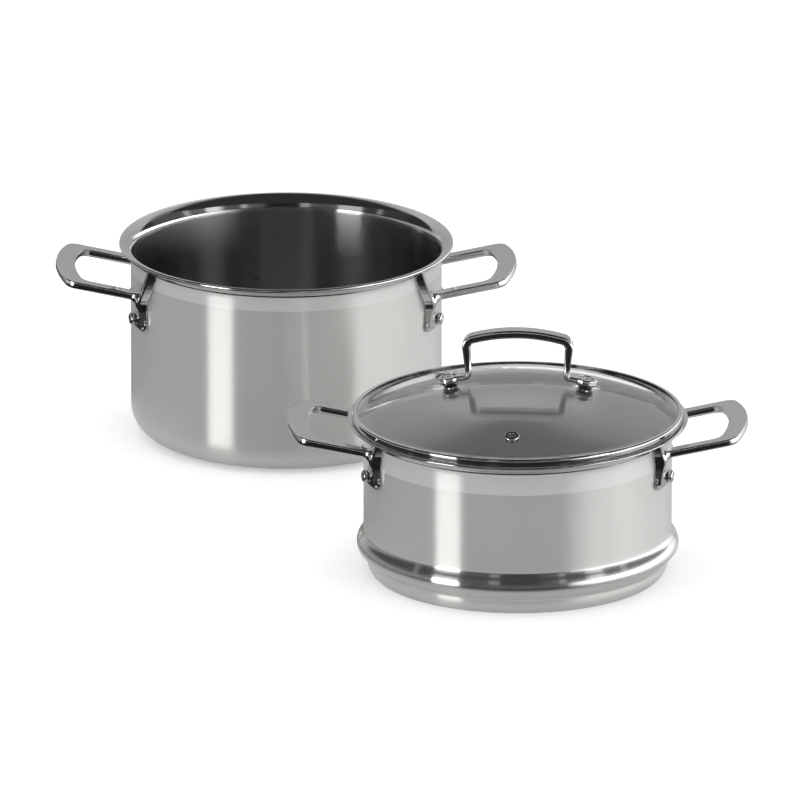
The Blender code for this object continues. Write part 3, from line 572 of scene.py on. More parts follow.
# %% Insert body
def make_steamer():
    """Join the turned vessel and its perforated floor into one closed skin."""
    item = turned("steamer_body_skin", steamer_profile, steps=AROUND, slots=steamer_slots)
    points, top, low, walls = floor_shell(AROUND)
    floor = bpy.data.meshes.new("floor")
    floor.from_pydata(points.tolist(), [], top.tolist() + low.tolist() + walls.tolist())
    number = np.repeat([FLOOR, BASE, FLOOR], [len(top), len(low), len(walls)])
    floor.polygons.foreach_set("material_index", number.astype(np.int32))
    reach = np.linalg.norm(points[:, :2], axis=1) * UV_PER_METRE
    put_uv(floor, reach, np.arctan2(points[:, 1], points[:, 0]) / math.tau)
    work = bmesh.new()
    work.from_mesh(item.data)
    work.from_mesh(floor)
    bmesh.ops.remove_doubles(work, verts=work.verts, dist=WELD)
    bmesh.ops.recalc_face_normals(work, faces=work.faces)
    open_edges = sum(1 for e in work.edges if not e.is_manifold)
    work.to_mesh(item.data)
    work.free()
    item.data.shade_smooth()
    item.data.set_sharp_from_angle(angle=math.radians(40))
    item.data.transform(Matrix.Translation(STEAMER_PLACE))
    print("Insert:", len(item.data.polygons), "faces,", open_edges, "open edges")
    return item


satin_steel = brushed("satin_inside", (0.60, 0.595, 0.58), 0.258, 0.262, 0.40)
floor_steel = polished("steamer_floor", STEEL, 0.27, 0.33, 40.0)
steamer_body = make_steamer()
assign(
    steamer_body, satin_steel, mirror_steel, band_steel, wall_steel, base_steel, floor_steel,
    bead_steel,
)
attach(steamer_body, "steamer")
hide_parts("steamer_body")

# %% [markdown]
# The handles are castings. A casting has no sharp inner corners: every arm flows into the foot
# that hugs the wall. Boxes joined with a Boolean would show hard creases there. A better way is
# a distance field: a formula that says, for any point in space, how far it is from the metal.
# Two such fields blend smoothly, and a rounded edge is one line of arithmetic. The surface where
# the distance is zero is then wrapped in a net of small faces.

# %% Distance field tools
def rounded_and(first, second, radius):
    """Where two shapes overlap, with the edge between them rounded to a radius.

    Inside, the larger distance counts. Near the edge, the two distances, each grown by the
    radius, are taken as the sides of a right angle.
    """
    corner = np.hypot(np.maximum(first + radius, 0.0), np.maximum(second + radius, 0.0))
    return np.minimum(np.maximum(first, second), -radius) + corner


def blended_or(first, second, reach):
    """Either of two shapes, with a fillet of about that reach where they meet."""
    share = np.clip(0.5 + 0.5 * (second - first) / reach, 0.0, 1.0)
    return second * (1.0 - share) + first * share - reach * share * (1.0 - share)


def line_distance(across, up, path):
    """Distance in a plane to a line of straight runs, and how far along the nearest point is."""
    best = np.full(np.shape(across), 1e9)
    along = np.zeros(np.shape(across))
    path = np.asarray(path, dtype=float)
    count = len(path) - 1
    for index in range(count):
        start, step = path[index], path[index + 1] - path[index]
        share = ((across - start[0]) * step[0] + (up - start[1]) * step[1]) / np.dot(step, step)
        share = np.clip(share, 0.0, 1.0)
        gap = np.hypot(across - start[0] - share * step[0], up - start[1] - share * step[1])
        nearer = gap < best
        best = np.where(nearer, gap, best)
        along = np.where(nearer, (index + share) / count, along)
    return best, along


dip = float(-blended_or(0.0, 0.0, 0.004))
print("Where two faces touch, a blend adds", round(dip * 1000, 2), "mm")

# %% [markdown]
# A field has no faces yet. The simplest good way to get them is a surface net: look at the field
# on a fine grid, put one point in every cell that the surface passes through, and join the points
# of neighbouring cells. That gives even four-sided faces, which follow round edges well.

# %% Surface net
def surface_net(field, low, high, step):
    """Wrap the zero surface of a field in a closed net of four-sided faces.

    The field is sampled on a grid. Each cell that the surface crosses gets one point, at the
    middle of the crossings on the cell's edges, and each crossed edge joins its four cells by a
    face. Three Newton steps, each p - f grad f / |grad f|^2, pull the points on to the surface.
    """
    axes = [np.arange(a - 2 * step, b + 2 * step, step) for a, b in zip(low, high)]
    value = field(*np.meshgrid(*axes, indexing="ij"))
    shape = np.array(value.shape)
    total = np.zeros((*shape, 3), dtype=np.float32)
    count = np.zeros(shape, dtype=np.float32)
    quads = []
    for axis in range(3):
        first = np.take(value, np.arange(shape[axis] - 1), axis=axis)
        second = np.take(value, np.arange(1, shape[axis]), axis=axis)
        crossed = np.argwhere((first < 0) != (second < 0))
        a = first[tuple(crossed.T)]
        b = second[tuple(crossed.T)]
        spot = crossed.astype(np.float32)
        spot[:, axis] += a / (a - b)
        others = [(axis + 1) % 3, (axis + 2) % 3]
        cells = []
        for u, v in ((0, 0), (1, 0), (1, 1), (0, 1)):
            cell = crossed.copy()
            cell[:, others[0]] -= u
            cell[:, others[1]] -= v
            np.add.at(total, tuple(cell.T), spot)
            np.add.at(count, tuple(cell.T), 1.0)
            cells.append(np.ravel_multi_index(tuple(cell.T), shape))
        quad = np.stack(cells, axis=-1)
        quad[a > 0] = quad[a > 0][:, ::-1]
        quads.append(quad)
    quads = np.concatenate(quads)
    used, faces = np.unique(quads, return_inverse=True)
    points = total.reshape(-1, 3)[used] / count.reshape(-1)[used][:, None]
    points = np.array([axis[0] for axis in axes]) + points.astype(float) * step
    probe = step * 0.05
    for _ in range(3):
        here = field(*points.T)
        rises = [field(*(points + p).T) - field(*(points - p).T) for p in probe * np.eye(3)]
        slope = np.stack(rises, axis=-1) / (2 * probe)
        size = np.maximum(np.sum(slope**2, axis=-1), 0.2)
        points = points - slope * (np.clip(here, -step, step) / size)[:, None]
    return points, faces.reshape(-1, 4)


ball_points, ball_faces = surface_net(
    lambda x, y, z: np.sqrt(x * x + y * y + z * z) - 1.0, (-1, -1, -1), (1, 1, 1), 0.25
)
ball_radius = float(np.linalg.norm(ball_points, axis=1).mean())
print("Trial ball:", len(ball_faces), "faces, radius", round(ball_radius, 3))

# %% [markdown]
# One handle is a flat loop, tilted up by about twelve degrees. Its outline is a big circle in
# front and two straight arms, and its window is the same shape, smaller. Fingers that carry a full
# pan press on its underside, so that edge is rounded more than the upper one.

# %% Grip loop
GRIP_REACH = 0.0496
GRIP_WIDTH = 0.0126
GRIP_ARC = 0.1100
GRIP_THICK = 0.0051
GRIP_TILT = math.radians(11.8)
GRIP_EDGE = 0.0008
GRIP_UNDER_EDGE = 0.0022
GRIP_CORNER = 0.0055
WINDOW_CORNER = 0.0042
ARM_OUTSIDE = 0.0432
ARM_WIDTH = 0.0090


def loop_field(x, y, z, wall, grip):
    """The tilted loop: an outer outline less its window, given a thickness.

    Both outlines are where a big circle and the space between two straight sides overlap. Out and
    rise are x and z turned by the tilt about the middle of the grip.
    """
    middle = wall + GRIP_REACH - GRIP_WIDTH / 2
    cos, sin = math.cos(GRIP_TILT), math.sin(GRIP_TILT)
    out = (x - middle) * cos + (z - grip) * sin + middle
    rise = -(x - middle) * sin + (z - grip) * cos
    ring = np.hypot(out - (wall + GRIP_REACH - GRIP_ARC), y)
    outer = rounded_and(ring - GRIP_ARC, np.abs(y) - ARM_OUTSIDE, GRIP_CORNER)
    inside = ARM_OUTSIDE - ARM_WIDTH
    window = rounded_and(ring - (GRIP_ARC - GRIP_WIDTH), np.abs(y) - inside, WINDOW_CORNER)
    plate = rounded_and(np.maximum(outer, -window), rise - GRIP_THICK / 2, GRIP_EDGE)
    return rounded_and(plate, -rise - GRIP_THICK / 2, GRIP_UNDER_EDGE)


print("Grip sticks out", round(GRIP_REACH * 1000, 1), "mm from the wall")

# %% [markdown]
# Each of the two arms ends in a forked foot: a leg runs down the wall and a branch runs up to the
# lip, and a thin ear beside the leg takes the rivet. Leg and branch are straight bars with a flat
# side towards the front. The ear follows the round wall, so it is drawn on the wall laid out flat:
# across is the distance round the wall, up is the height, and out is the distance from the wall.
# Last, the vessel's own outline cuts the casting, so that it seats on wall and lip with the small
# gap of a fitted part.

# %% Forked feet
RIB_CENTRE = ARM_OUTSIDE + 0.0002
RIB_HALF = 0.0035
RIB_OUT = 0.0053
RIB_EDGE = 0.0011
LEG_DROP = 0.0310
LEG_SPREAD = math.radians(0.5)
LEG_TAPER = 0.0020
EAR_THICK = 0.0015
EAR_RADIUS = 0.0045
EAR_EDGE = 0.0004
RIVET_ANGLE = math.radians(16)
RIVET_DROP = 0.0283
FOOT_EDGE = 0.0004
FORK_BLEND = 0.0040
EAR_BLEND = 0.0012
ARM_BLEND = 0.0045


def foot_paths(wall, grip, rise, spread):
    """Middle lines of the leg and the branch, seen square from the front as (side, up) points.

    At an angle a round the wall, the side is wall * sin a.
    """
    angle = math.asin(RIB_CENTRE / wall)
    drop = (GRIP_REACH + wall - wall * math.cos(angle)) * math.tan(GRIP_TILT)
    top = grip - drop
    share = np.linspace(0.0, 1.0, 9)
    leg_side = wall * np.sin(angle + LEG_SPREAD * share)
    leg_up = top + (grip - LEG_DROP + RIB_HALF - top) * share
    branch_side = wall * np.sin(angle + spread * share**0.8)
    branch_up = top + rise * share
    return np.stack([leg_side, leg_up], axis=-1), np.stack([branch_side, branch_up], axis=-1)


def bar_field(x, side, z, path, wall, taper):
    """A bar along a path, flat towards the side and flat outwards, centred on the wall.

    Out is x less the wall's own x beside the nearest point of the path. The bar gets thinner
    along the path by the taper.
    """
    gap, along = line_distance(side, z, path)
    beside = np.interp(along, np.linspace(0.0, 1.0, len(path)), path[:, 0])
    out = x - np.sqrt(wall**2 - beside**2)
    return rounded_and(gap - RIB_HALF, np.abs(out) - RIB_OUT + taper * along, RIB_EDGE)


def handle_field(wall, grip, rise, spread, outline):
    """Field of a whole handle on the +X side of a vessel: loop, legs, branches and ears blended.

    The outline is the vessel's outer side; what lies closer than the gap to it is cut away.
    """
    leg, branch = foot_paths(wall, grip, rise, spread)
    ear_up = grip - RIVET_DROP
    ear_line = [(RIVET_ANGLE * wall, ear_up), (math.asin(RIB_CENTRE / wall) * wall, ear_up)]
    heights = outline[::-1, 1]
    radii = outline[::-1, 0]

    def field(x, y, z):
        side = np.abs(y)
        radius = np.hypot(x, y)
        across = np.arctan2(side, x) * wall
        out = radius - wall
        leg_part = bar_field(x, side, z, leg, wall, LEG_TAPER)
        branch_part = bar_field(x, side, z, branch, wall, 0.0)
        foot = blended_or(leg_part, branch_part, FORK_BLEND)
        ear_gap, _ = line_distance(across, z, ear_line)
        ear = rounded_and(ear_gap - EAR_RADIUS, np.abs(out) - SEAT_GAP - EAR_THICK, EAR_EDGE)
        foot = blended_or(foot, ear, EAR_BLEND)
        whole = blended_or(loop_field(x, side, z, wall, grip), foot, ARM_BLEND)
        skin = np.interp(z, heights, radii) + SEAT_GAP
        return rounded_and(whole, skin - radius, FOOT_EDGE)

    return field


print("Leg is", round(RIB_HALF * 2000), "mm wide and runs", round(LEG_DROP * 1000), "mm down")

# %% [markdown]
# Pan and insert share the casting, set at another height and with a shorter branch on the insert,
# whose lip is near. Each is wrapped in its net once and placed twice, turned half round for the
# left side.

# %% Cast handles
NET_STEP = 0.0005
NET_WELD = 1e-7
POT_GRIP = POT_HEIGHT - 0.0162
POT_BRANCH = 0.0260
POT_BRANCH_SPREAD = math.radians(8.8)
STEAMER_GRIP = STEAMER_HEIGHT - 0.0027
STEAMER_BRANCH = 0.0120
STEAMER_BRANCH_SPREAD = math.radians(3.5)


def make_handle(name, wall, grip, rise, spread, outline):
    """Net of one handle, sampled in a box that just holds it."""
    field = handle_field(wall, grip, rise, spread, outline)
    widest = math.asin(RIB_CENTRE / wall) + max(spread, LEG_SPREAD) + 0.06
    low = (wall * math.cos(widest) - 0.002, -wall * math.sin(widest), grip - LEG_DROP - 0.003)
    high = (wall + GRIP_REACH + 0.002, wall * math.sin(widest), grip + 0.020)
    points, faces = surface_net(field, low, high, NET_STEP)
    print(name, len(points), "points")
    return points, faces


def place_handle(name, points, faces, turn, place, body, node):
    """One casting set on its side of a vessel: turned about Z, then moved."""
    cos, sin = math.cos(turn), math.sin(turn)
    spin = np.array([[cos, -sin, 0], [sin, cos, 0], [0, 0, 1]])
    item = new_object(name, points @ spin.T + place, faces)
    close_up(item, NET_WELD)
    assign(item, cast_steel)
    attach(item, body)
    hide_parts(node)
    return item


ORIGIN = np.zeros(3)
steamer_wall_line = steamer_line[steamer_line[:, 1] > BEAD_HEIGHT + 0.02]
pot_wall_line = pot_line[pot_line[:, 1] > POT_CORNER]
pot_cast = make_handle(
    "pan handle", POT_WALL, POT_GRIP, POT_BRANCH, POT_BRANCH_SPREAD, pot_wall_line
)
steamer_cast = make_handle(
    "insert handle", STEAMER_WALL, STEAMER_GRIP, STEAMER_BRANCH, STEAMER_BRANCH_SPREAD,
    steamer_wall_line,
)
for side, turn in (("right", 0.0), ("left", math.pi)):
    place_handle("pan_handle_" + side, *pot_cast, turn, ORIGIN, "pot", "pot_handle_" + side)
    insert_node = "steamer_handle_" + side
    place_handle(
        "insert_handle_" + side, *steamer_cast, turn, STEAMER_PLACE, "steamer", insert_node
    )

# %% [markdown]
# Rivets hold the ears. Outside each has a rounded button head with a small dimple left by the
# riveting punch, and inside a flat, low head. Each is a small turned profile, stood on its own
# axis through the wall.

# %% Rivets
RIVET_SHANK = 0.0024
RIVET_HEAD = 0.0041
RIVET_RISE = 0.0027
RIVET_ROUND = 0.0016
RIVET_TAIL = 0.0046
RIVET_TAIL_RISE = 0.0016
RIVET_TAIL_ROUND = 0.0012
DIMPLE = np.array([[0.0, -0.0010], [0.0004, -0.0009], [0.0009, -0.0002], [0.0013, 0.0]])


def rivet_profile(wall, sheet):
    """Dimple, domed head, shank and low tail, from the outside tip to the inside one."""
    seat = 2 * SEAT_GAP + EAR_THICK
    top = seat + RIVET_RISE
    tail = -sheet - SEAT_GAP - RIVET_TAIL**2 / (2 * (wall - sheet))
    end = tail - RIVET_TAIL_RISE
    crown = arc((RIVET_HEAD - RIVET_ROUND, top - RIVET_ROUND), RIVET_ROUND, math.pi / 2, 0.0, 8)
    shank = [[RIVET_HEAD, seat], [RIVET_SHANK, seat], [RIVET_SHANK, tail], [RIVET_TAIL, tail]]
    low_centre = (RIVET_TAIL - RIVET_TAIL_ROUND, end + RIVET_TAIL_ROUND)
    low = arc(low_centre, RIVET_TAIL_ROUND, 0.0, -math.pi / 2, 6)
    return np.concatenate([DIMPLE + [0.0, top], crown, shank, low, [[0.0, end]]])


def axis_frame(origin, direction):
    """Matrix whose Z runs along a direction from an origin."""
    turn = Vector(direction).to_track_quat("Z", "Y").to_matrix().to_4x4()
    return Matrix.Translation(Vector(origin)) @ turn


RIVET_PLACES = {
    "right_front": -RIVET_ANGLE,
    "right_back": RIVET_ANGLE,
    "left_back": math.pi - RIVET_ANGLE,
    "left_front": math.pi + RIVET_ANGLE,
}
rivet_steel = polished("rivet_head", (0.62, 0.62, 0.61), 0.13, 0.20, 300.0)


def make_rivets(prefix, piece, wall, sheet, grip, place, body):
    """Four rivets round one vessel."""
    profile = rivet_profile(wall, sheet)
    for name, angle in RIVET_PLACES.items():
        out = Vector((math.cos(angle), math.sin(angle), 0.0))
        origin = Vector(place) + out * wall + Vector((0.0, 0.0, grip - RIVET_DROP))
        item = turned(piece + name, profile, axis_frame(origin, out), steps=40)
        item.data.set_sharp_from_angle(angle=math.radians(50))
        assign(item, rivet_steel)
        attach(item, body)
        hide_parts(prefix + name)


make_rivets("pot_rivet_", "pan_rivet_", POT_WALL, POT_SHEET, POT_GRIP, ORIGIN, "pot")
make_rivets(
    "steamer_rivet_", "insert_rivet_", STEAMER_WALL, STEAMER_SHEET, STEAMER_GRIP, STEAMER_PLACE,
    "steamer",
)
print("Rivets:", 2 * len(RIVET_PLACES))

# %% [markdown]
# The lid is a dome of toughened glass with a flat edge, held in a rolled steel ring that rests on
# the insert's lip. Its heights are stacked up from that lip: ring, gap, glass, gap, ring. Whatever
# is bolted to the dome stands square to the glass, so each fitting gets a frame of its own there.

# %% Lid sizes
LID_TURN = math.radians(-3)
GLASS_THICK = 0.0036
GLASS_RISE = 0.0198
FLANGE_CURVE = 0.0120
GLASS_ROUND = 0.0008
RING_RADIUS = STEAMER_LIP - 0.0031
RING_INSIDE = RING_RADIUS - 0.0047
RING_LEAF = 0.0007
RING_TOP_WIDTH = 0.0028
RING_ROUND = 0.0016
GLASS_EDGE = RING_RADIUS - 0.0011 - SEAT_GAP
GLASS_FLAT = RING_INSIDE - 0.0004
RING_BOTTOM = STEAMER_HEIGHT - 0.0006
GLASS_SEAT = RING_BOTTOM + RING_LEAF + SEAT_GAP
GLASS_TOP = GLASS_SEAT + GLASS_THICK
RING_TOP = GLASS_TOP + SEAT_GAP + RING_LEAF
DOME_RADIUS = (GLASS_FLAT**2 + GLASS_RISE**2) / (2 * GLASS_RISE) - FLANGE_CURVE
DOME_CENTRE = GLASS_TOP + GLASS_RISE - DOME_RADIUS
STACK_REACH = 0.0436
VENT_FORWARD = 0.0790
lid_frame = Matrix.Translation(Vector(STEAMER_PLACE)) @ Matrix.Rotation(LID_TURN, 4, "Z")


def dome_frame(turn, reach):
    """Frame on the dome at a distance from its axis, with Z along the glass's own normal."""
    lean = math.asin(reach / DOME_RADIUS)
    spin = Matrix.Rotation(turn, 4, "Z")
    centre = Matrix.Translation((0.0, 0.0, DOME_CENTRE))
    out = Matrix.Translation((0.0, 0.0, DOME_RADIUS))
    return spin @ centre @ Matrix.Rotation(lean, 4, "Y") @ out


STACKS = {"right": dome_frame(0.0, STACK_REACH), "left": dome_frame(math.pi, STACK_REACH)}
VENT = dome_frame(-math.pi / 2, VENT_FORWARD)
print("Dome radius", round(DOME_RADIUS * 1000, 1), "mm")

# %% [markdown]
# The glass is clear with a faint grey-green tint. A path tracer finds it hard to send lamp light
# through bent glass, and the insert under it would go black. So rays that carry light, shadow rays
# and diffuse ones, pass through a plain tint instead, while the camera and reflections see true
# glass. The holes are bored with a Boolean modifier, because they cross a curved shell.

# %% Glass pane
def glass_profile():
    """Top of the glass from its middle to the rounded edge, then back along the underside."""
    turn = math.asin(GLASS_FLAT / (DOME_RADIUS + FLANGE_CURVE))
    half = math.pi / 2
    dome = arc((0.0, DOME_CENTRE), DOME_RADIUS, half, half - turn, 40)
    flange = arc((GLASS_FLAT, GLASS_TOP + FLANGE_CURVE), FLANGE_CURVE, -half - turn, -half, 8)
    top = np.concatenate([dome, flange[1:], [[GLASS_EDGE - GLASS_ROUND, GLASS_TOP]]])
    low = offset_line(top, -GLASS_THICK)
    low[0] = (0.0, top[0][1] - GLASS_THICK)
    centre = (GLASS_EDGE - GLASS_ROUND, GLASS_TOP - GLASS_ROUND)
    corner = arc(centre, GLASS_ROUND, half, 0.0, 4)[1:]
    under = corner[::-1] * [1, -1] + [0, 2 * GLASS_TOP - GLASS_THICK]
    return np.concatenate([top, corner, under, low[::-1]])


DRILL = 0.02
SCREW_HOLE = 0.0025
VENT_HOLE = 0.0033


def drilled(item, frames_and_radii):
    """Bore round holes through a piece along the Z of each frame, with Boolean modifiers."""
    cutters = []
    for hole, radius in frames_and_radii:
        profile = [(0.0, DRILL), (radius, DRILL), (radius, -DRILL), (0.0, -DRILL)]
        cutter = turned("drill", profile, hole, steps=32)
        bore = item.modifiers.new("bore", "BOOLEAN")
        bore.operation = "DIFFERENCE"
        bore.solver = "EXACT"
        bore.object = cutter
        cutters.append(cutter)
    bpy.context.view_layer.update()
    graph = bpy.context.evaluated_depsgraph_get()
    mesh = bpy.data.meshes.new_from_object(item.evaluated_get(graph))
    item.modifiers.clear()
    item.data = mesh
    for cutter in cutters:
        bpy.data.objects.remove(cutter, do_unlink=True)


def clear_glass(name, colour, light_tint):
    """Glass of IOR 1.5, which is a plain tinted filter for shadow rays and diffuse rays."""
    material, tree, shader = principled(
        name, colour, 0.0, 0.0, Transmission_Weight=1.0, IOR=1.5
    )
    clear = tree.nodes.new("ShaderNodeBsdfTransparent")
    clear.inputs["Color"].default_value = (*light_tint, 1.0)
    path = tree.nodes.new("ShaderNodeLightPath")
    lighting = tree.nodes.new("ShaderNodeMath")
    lighting.operation = "MAXIMUM"
    either = tree.nodes.new("ShaderNodeMixShader")
    tree.links.new(path.outputs["Is Shadow Ray"], lighting.inputs[0])
    tree.links.new(path.outputs["Is Diffuse Ray"], lighting.inputs[1])
    tree.links.new(lighting.outputs["Value"], either.inputs["Fac"])
    tree.links.new(shader.outputs["BSDF"], either.inputs[1])
    tree.links.new(clear.outputs["BSDF"], either.inputs[2])
    tree.links.new(either.outputs["Shader"], tree.nodes["Material Output"].inputs["Surface"])
    return material


lid_clear = clear_glass("lid_glass_clear", (0.93, 0.95, 0.945), (0.86, 0.88, 0.875))
lid_glass = turned("lid_pane", glass_profile(), steps=192)
screw_holes = [(place, SCREW_HOLE) for place in STACKS.values()]
drilled(lid_glass, screw_holes + [(VENT, VENT_HOLE)])
lid_glass.data.shade_smooth()
lid_glass.data.set_sharp_from_angle(angle=math.radians(40))
lid_glass.data.transform(lid_frame)
assign(lid_glass, lid_clear)
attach(lid_glass, "lid")
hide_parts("lid_glass")
print("Glass:", len(lid_glass.data.polygons), "faces")

# %% [markdown]
# The ring is rolled from strip round the edge of the glass. It is turned from a C-shaped section,
# which leaves a groove for that edge, with rounded leaves above and below.

# %% Rim ring
def ring_profile():
    """C-shaped section: groove, top leaf, rounded outside and bottom leaf, closed on itself."""
    groove = GLASS_EDGE + SEAT_GAP
    high = GLASS_TOP + SEAT_GAP
    low = GLASS_SEAT - SEAT_GAP
    side = RING_RADIUS - RING_ROUND
    half = RING_LEAF / 2
    up, down = math.pi / 2, 1.5 * math.pi
    outer = arc((side, RING_TOP - RING_ROUND), RING_ROUND, up, 0.0, 12)
    lower = arc((side, RING_BOTTOM + RING_ROUND), RING_ROUND, 0.0, -up, 12)
    lip = arc((RING_RADIUS - RING_TOP_WIDTH + half, RING_TOP - half), half, down, up, 8)
    foot = arc((RING_INSIDE + half, RING_BOTTOM + half), half, down, up, 8)
    start = [[groove, low], [groove, high]]
    return np.concatenate([start, lip, outer, lower, foot, [[groove, low]]])


ring_steel = polished("rim_ring", (0.72, 0.72, 0.71), 0.04, 0.07, 60.0)
lid_ring = turned("lid_ring", ring_profile(), lid_frame, steps=AROUND)
lid_ring.data.set_sharp_from_angle(angle=math.radians(50))
assign(lid_ring, ring_steel)
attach(lid_ring, "lid")
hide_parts("lid_rim_ring")
print("Ring is", round((RING_TOP - RING_BOTTOM) * 1000, 1), "mm high")

# %% [markdown]
# The steam vent is an eyelet: a short steel tube spun over both faces of the glass. Like all
# fittings of the lid it is a small turned piece on one axis, square to the glass.

# %% Steam vent
VENT_BORE = 0.0019
VENT_TUBE = 0.0030
VENT_FLANGE = 0.0050
VENT_TAIL = 0.0043
VENT_RISE = 0.0014


def fitting(name, node, profile, place, material):
    """A small turned piece on the lid, with crisp edges kept crisp."""
    item = turned(name, profile, lid_frame @ place, steps=48)
    item.data.set_sharp_from_angle(angle=math.radians(45))
    assign(item, material)
    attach(item, "lid")
    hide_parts(node)
    return item


def vent_profile():
    """Eyelet: a rounded outer flange, the bore, and a smaller flange under the glass."""
    top = SEAT_GAP + VENT_RISE
    low = -GLASS_THICK - SEAT_GAP
    tip = low - 0.0007
    crown = arc((VENT_FLANGE - 0.0010, top - 0.0010), 0.0010, 0.0, math.pi / 2, 8)
    mouth = arc((VENT_BORE + 0.0007, top - 0.0007), 0.0007, math.pi / 2, math.pi, 8)
    start = [[VENT_TUBE, low], [VENT_TUBE, SEAT_GAP], [VENT_FLANGE, SEAT_GAP]]
    tail = [[VENT_TAIL - 0.0003, tip], [VENT_TAIL, low - 0.0003], [VENT_TAIL, low]]
    return np.concatenate([start, crown, mouth, [[VENT_BORE, tip]], tail, [[VENT_TUBE, low]]])


fitting("steam_vent", "lid_steam_vent", vent_profile(), VENT, mirror_steel)
print("Vent bore", round(VENT_BORE * 2000, 1), "mm")

# %% [markdown]
# Under each foot of the lid handle sit the parts that clamp it: screw, cone spacer, two soft
# washers and a cap nut. Their heights stack up from the glass, each with a small gap, so that no
# two pieces ever touch or overlap.

# %% Clamping stacks
FOOT_LIFT = 0.0039
FOOT_THICK = 0.0035
FOOT_PROUD = 0.0002
SCREW_SHANK = 0.0022
SCREW_HEAD = 0.0043
SCREW_DEPTH = 0.0016
SCREW_ROUND = 0.0011
SCREW_DISH = [(0.0, -0.0009), (0.0009, -0.0009), (0.0013, -0.0001), (0.0017, 0.0)]
GASKET = 0.0007
SPACER_FOOT = 0.0044
SPACER_TOP = 0.0066
NUT_HEIGHT = 0.0046
NUT_FLANGE = 0.0055
NUT_WALL = 0.0011
NUT_BODY = 0.0042
NUT_ROUND = 0.0017


def closed_ring(bore, low_radius, high_radius, low, high):
    """Plain ring or cone with a bore and slightly broken edges."""
    cut = 0.00015
    return [
        (bore, low), (bore, high), (high_radius - cut, high), (high_radius, high - cut),
        (low_radius, low + cut), (low_radius - cut, low), (bore, low),
    ]


def screw_profile(end):
    """Button head with a dish in its top, sunk in its foot, on a plain shank."""
    top = FOOT_LIFT + FOOT_THICK
    seat = top - SCREW_DEPTH
    dish = np.array(SCREW_DISH) + [0.0, top]
    crown = arc((SCREW_HEAD - SCREW_ROUND, top - SCREW_ROUND), SCREW_ROUND, math.pi / 2, 0.0, 8)
    rest = [(SCREW_HEAD, seat), (SCREW_SHANK, seat), (SCREW_SHANK, end), (0.0, end)]
    return np.concatenate([dish, crown, rest])


def nut_profile(top):
    """Flanged cap nut with a blind bore."""
    bore = SCREW_SHANK + SEAT_GAP
    bottom = top - NUT_HEIGHT
    roof = bottom + NUT_WALL
    crown = arc((NUT_BODY - NUT_ROUND, bottom + NUT_ROUND), NUT_ROUND, 0.0, -math.pi / 2, 8)
    start = [(0.0, roof), (bore, roof), (bore, top), (NUT_FLANGE, top)]
    side = [(NUT_FLANGE, top - NUT_WALL), (NUT_BODY, top - NUT_WALL)]
    return np.concatenate([start, side, crown, [(0.0, bottom)]])


washer_rubber = polished("soft_washer", (0.035, 0.035, 0.035), 0.5, 0.7, 400.0, 0.0)
spacer_steel = polished("cone_spacer", (0.50, 0.50, 0.50), 0.11, 0.17, 200.0)
bore = SCREW_SHANK + SEAT_GAP
under = -GLASS_THICK - SEAT_GAP
nut_top = under - GASKET - SEAT_GAP
gasket_top = SEAT_GAP + GASKET
screw_end = nut_top - NUT_HEIGHT + NUT_WALL + SEAT_GAP
spacer = closed_ring(
    bore, SPACER_FOOT, SPACER_TOP, gasket_top + SEAT_GAP, FOOT_LIFT - FOOT_PROUD - SEAT_GAP
)
upper_washer = closed_ring(bore, SPACER_FOOT, SPACER_FOOT, SEAT_GAP, gasket_top)
lower_washer = closed_ring(bore, NUT_FLANGE, NUT_FLANGE, under - GASKET, under)
STACK_PIECES = (
    ("screw_", "lid_screw_", screw_profile(screw_end), rivet_steel, "fitting_steel"),
    ("spacer_", "lid_spacer_", spacer, spacer_steel, "fitting_steel"),
    ("washer_top_", "lid_gasket_top_", upper_washer, washer_rubber, "gasket_rubber"),
    ("washer_under_", "lid_gasket_under_", lower_washer, washer_rubber, "gasket_rubber"),
    ("cap_nut_", "lid_cap_nut_", nut_profile(nut_top), rivet_steel, "fitting_steel"),
)
for side, place in STACKS.items():
    for name, node, profile, material, slot in STACK_PIECES:
        fitting(name + side, node + side, profile, place, material)
print("Lid fittings:", 1 + len(STACK_PIECES) * len(STACKS))

# %% [markdown]
# The lid handle is a bent strap. Its middle line is drawn first, for one half: from the screw
# along the slope of the glass, round the heel, straight up, round the shoulder and over a flat
# arch. The bends are arcs that touch both straight runs, as a bending tool leaves them.

# %% Lid handle line
STRAP_TOP_THICK = 0.0054
STRAP_TOP = 0.0563
STRAP_ARCH = 0.1110
STRAP_HALF_TOP = 0.0338
STRAP_HALF_HEEL = 0.0318
STRAP_SHOULDER = 0.0058
STRAP_HEEL_ROUND = 0.0024


def fillet(before, corner, after, radius, steps):
    """Arc that rounds a corner between two straight runs."""
    corner = np.asarray(corner, dtype=float)
    back = np.asarray(before) - corner
    ahead = np.asarray(after) - corner
    back /= np.linalg.norm(back)
    ahead /= np.linalg.norm(ahead)
    half = math.acos(np.clip(np.dot(back, ahead), -1, 1)) / 2
    middle = (back + ahead) / np.linalg.norm(back + ahead)
    centre = corner + middle * radius / math.sin(half)
    first = corner + back * radius / math.tan(half) - centre
    last = corner + ahead * radius / math.tan(half) - centre
    start = math.atan2(first[1], first[0])
    sweep = (math.atan2(last[1], last[0]) - start + math.pi) % math.tau - math.pi
    return arc(centre, radius, start, start + sweep, steps)


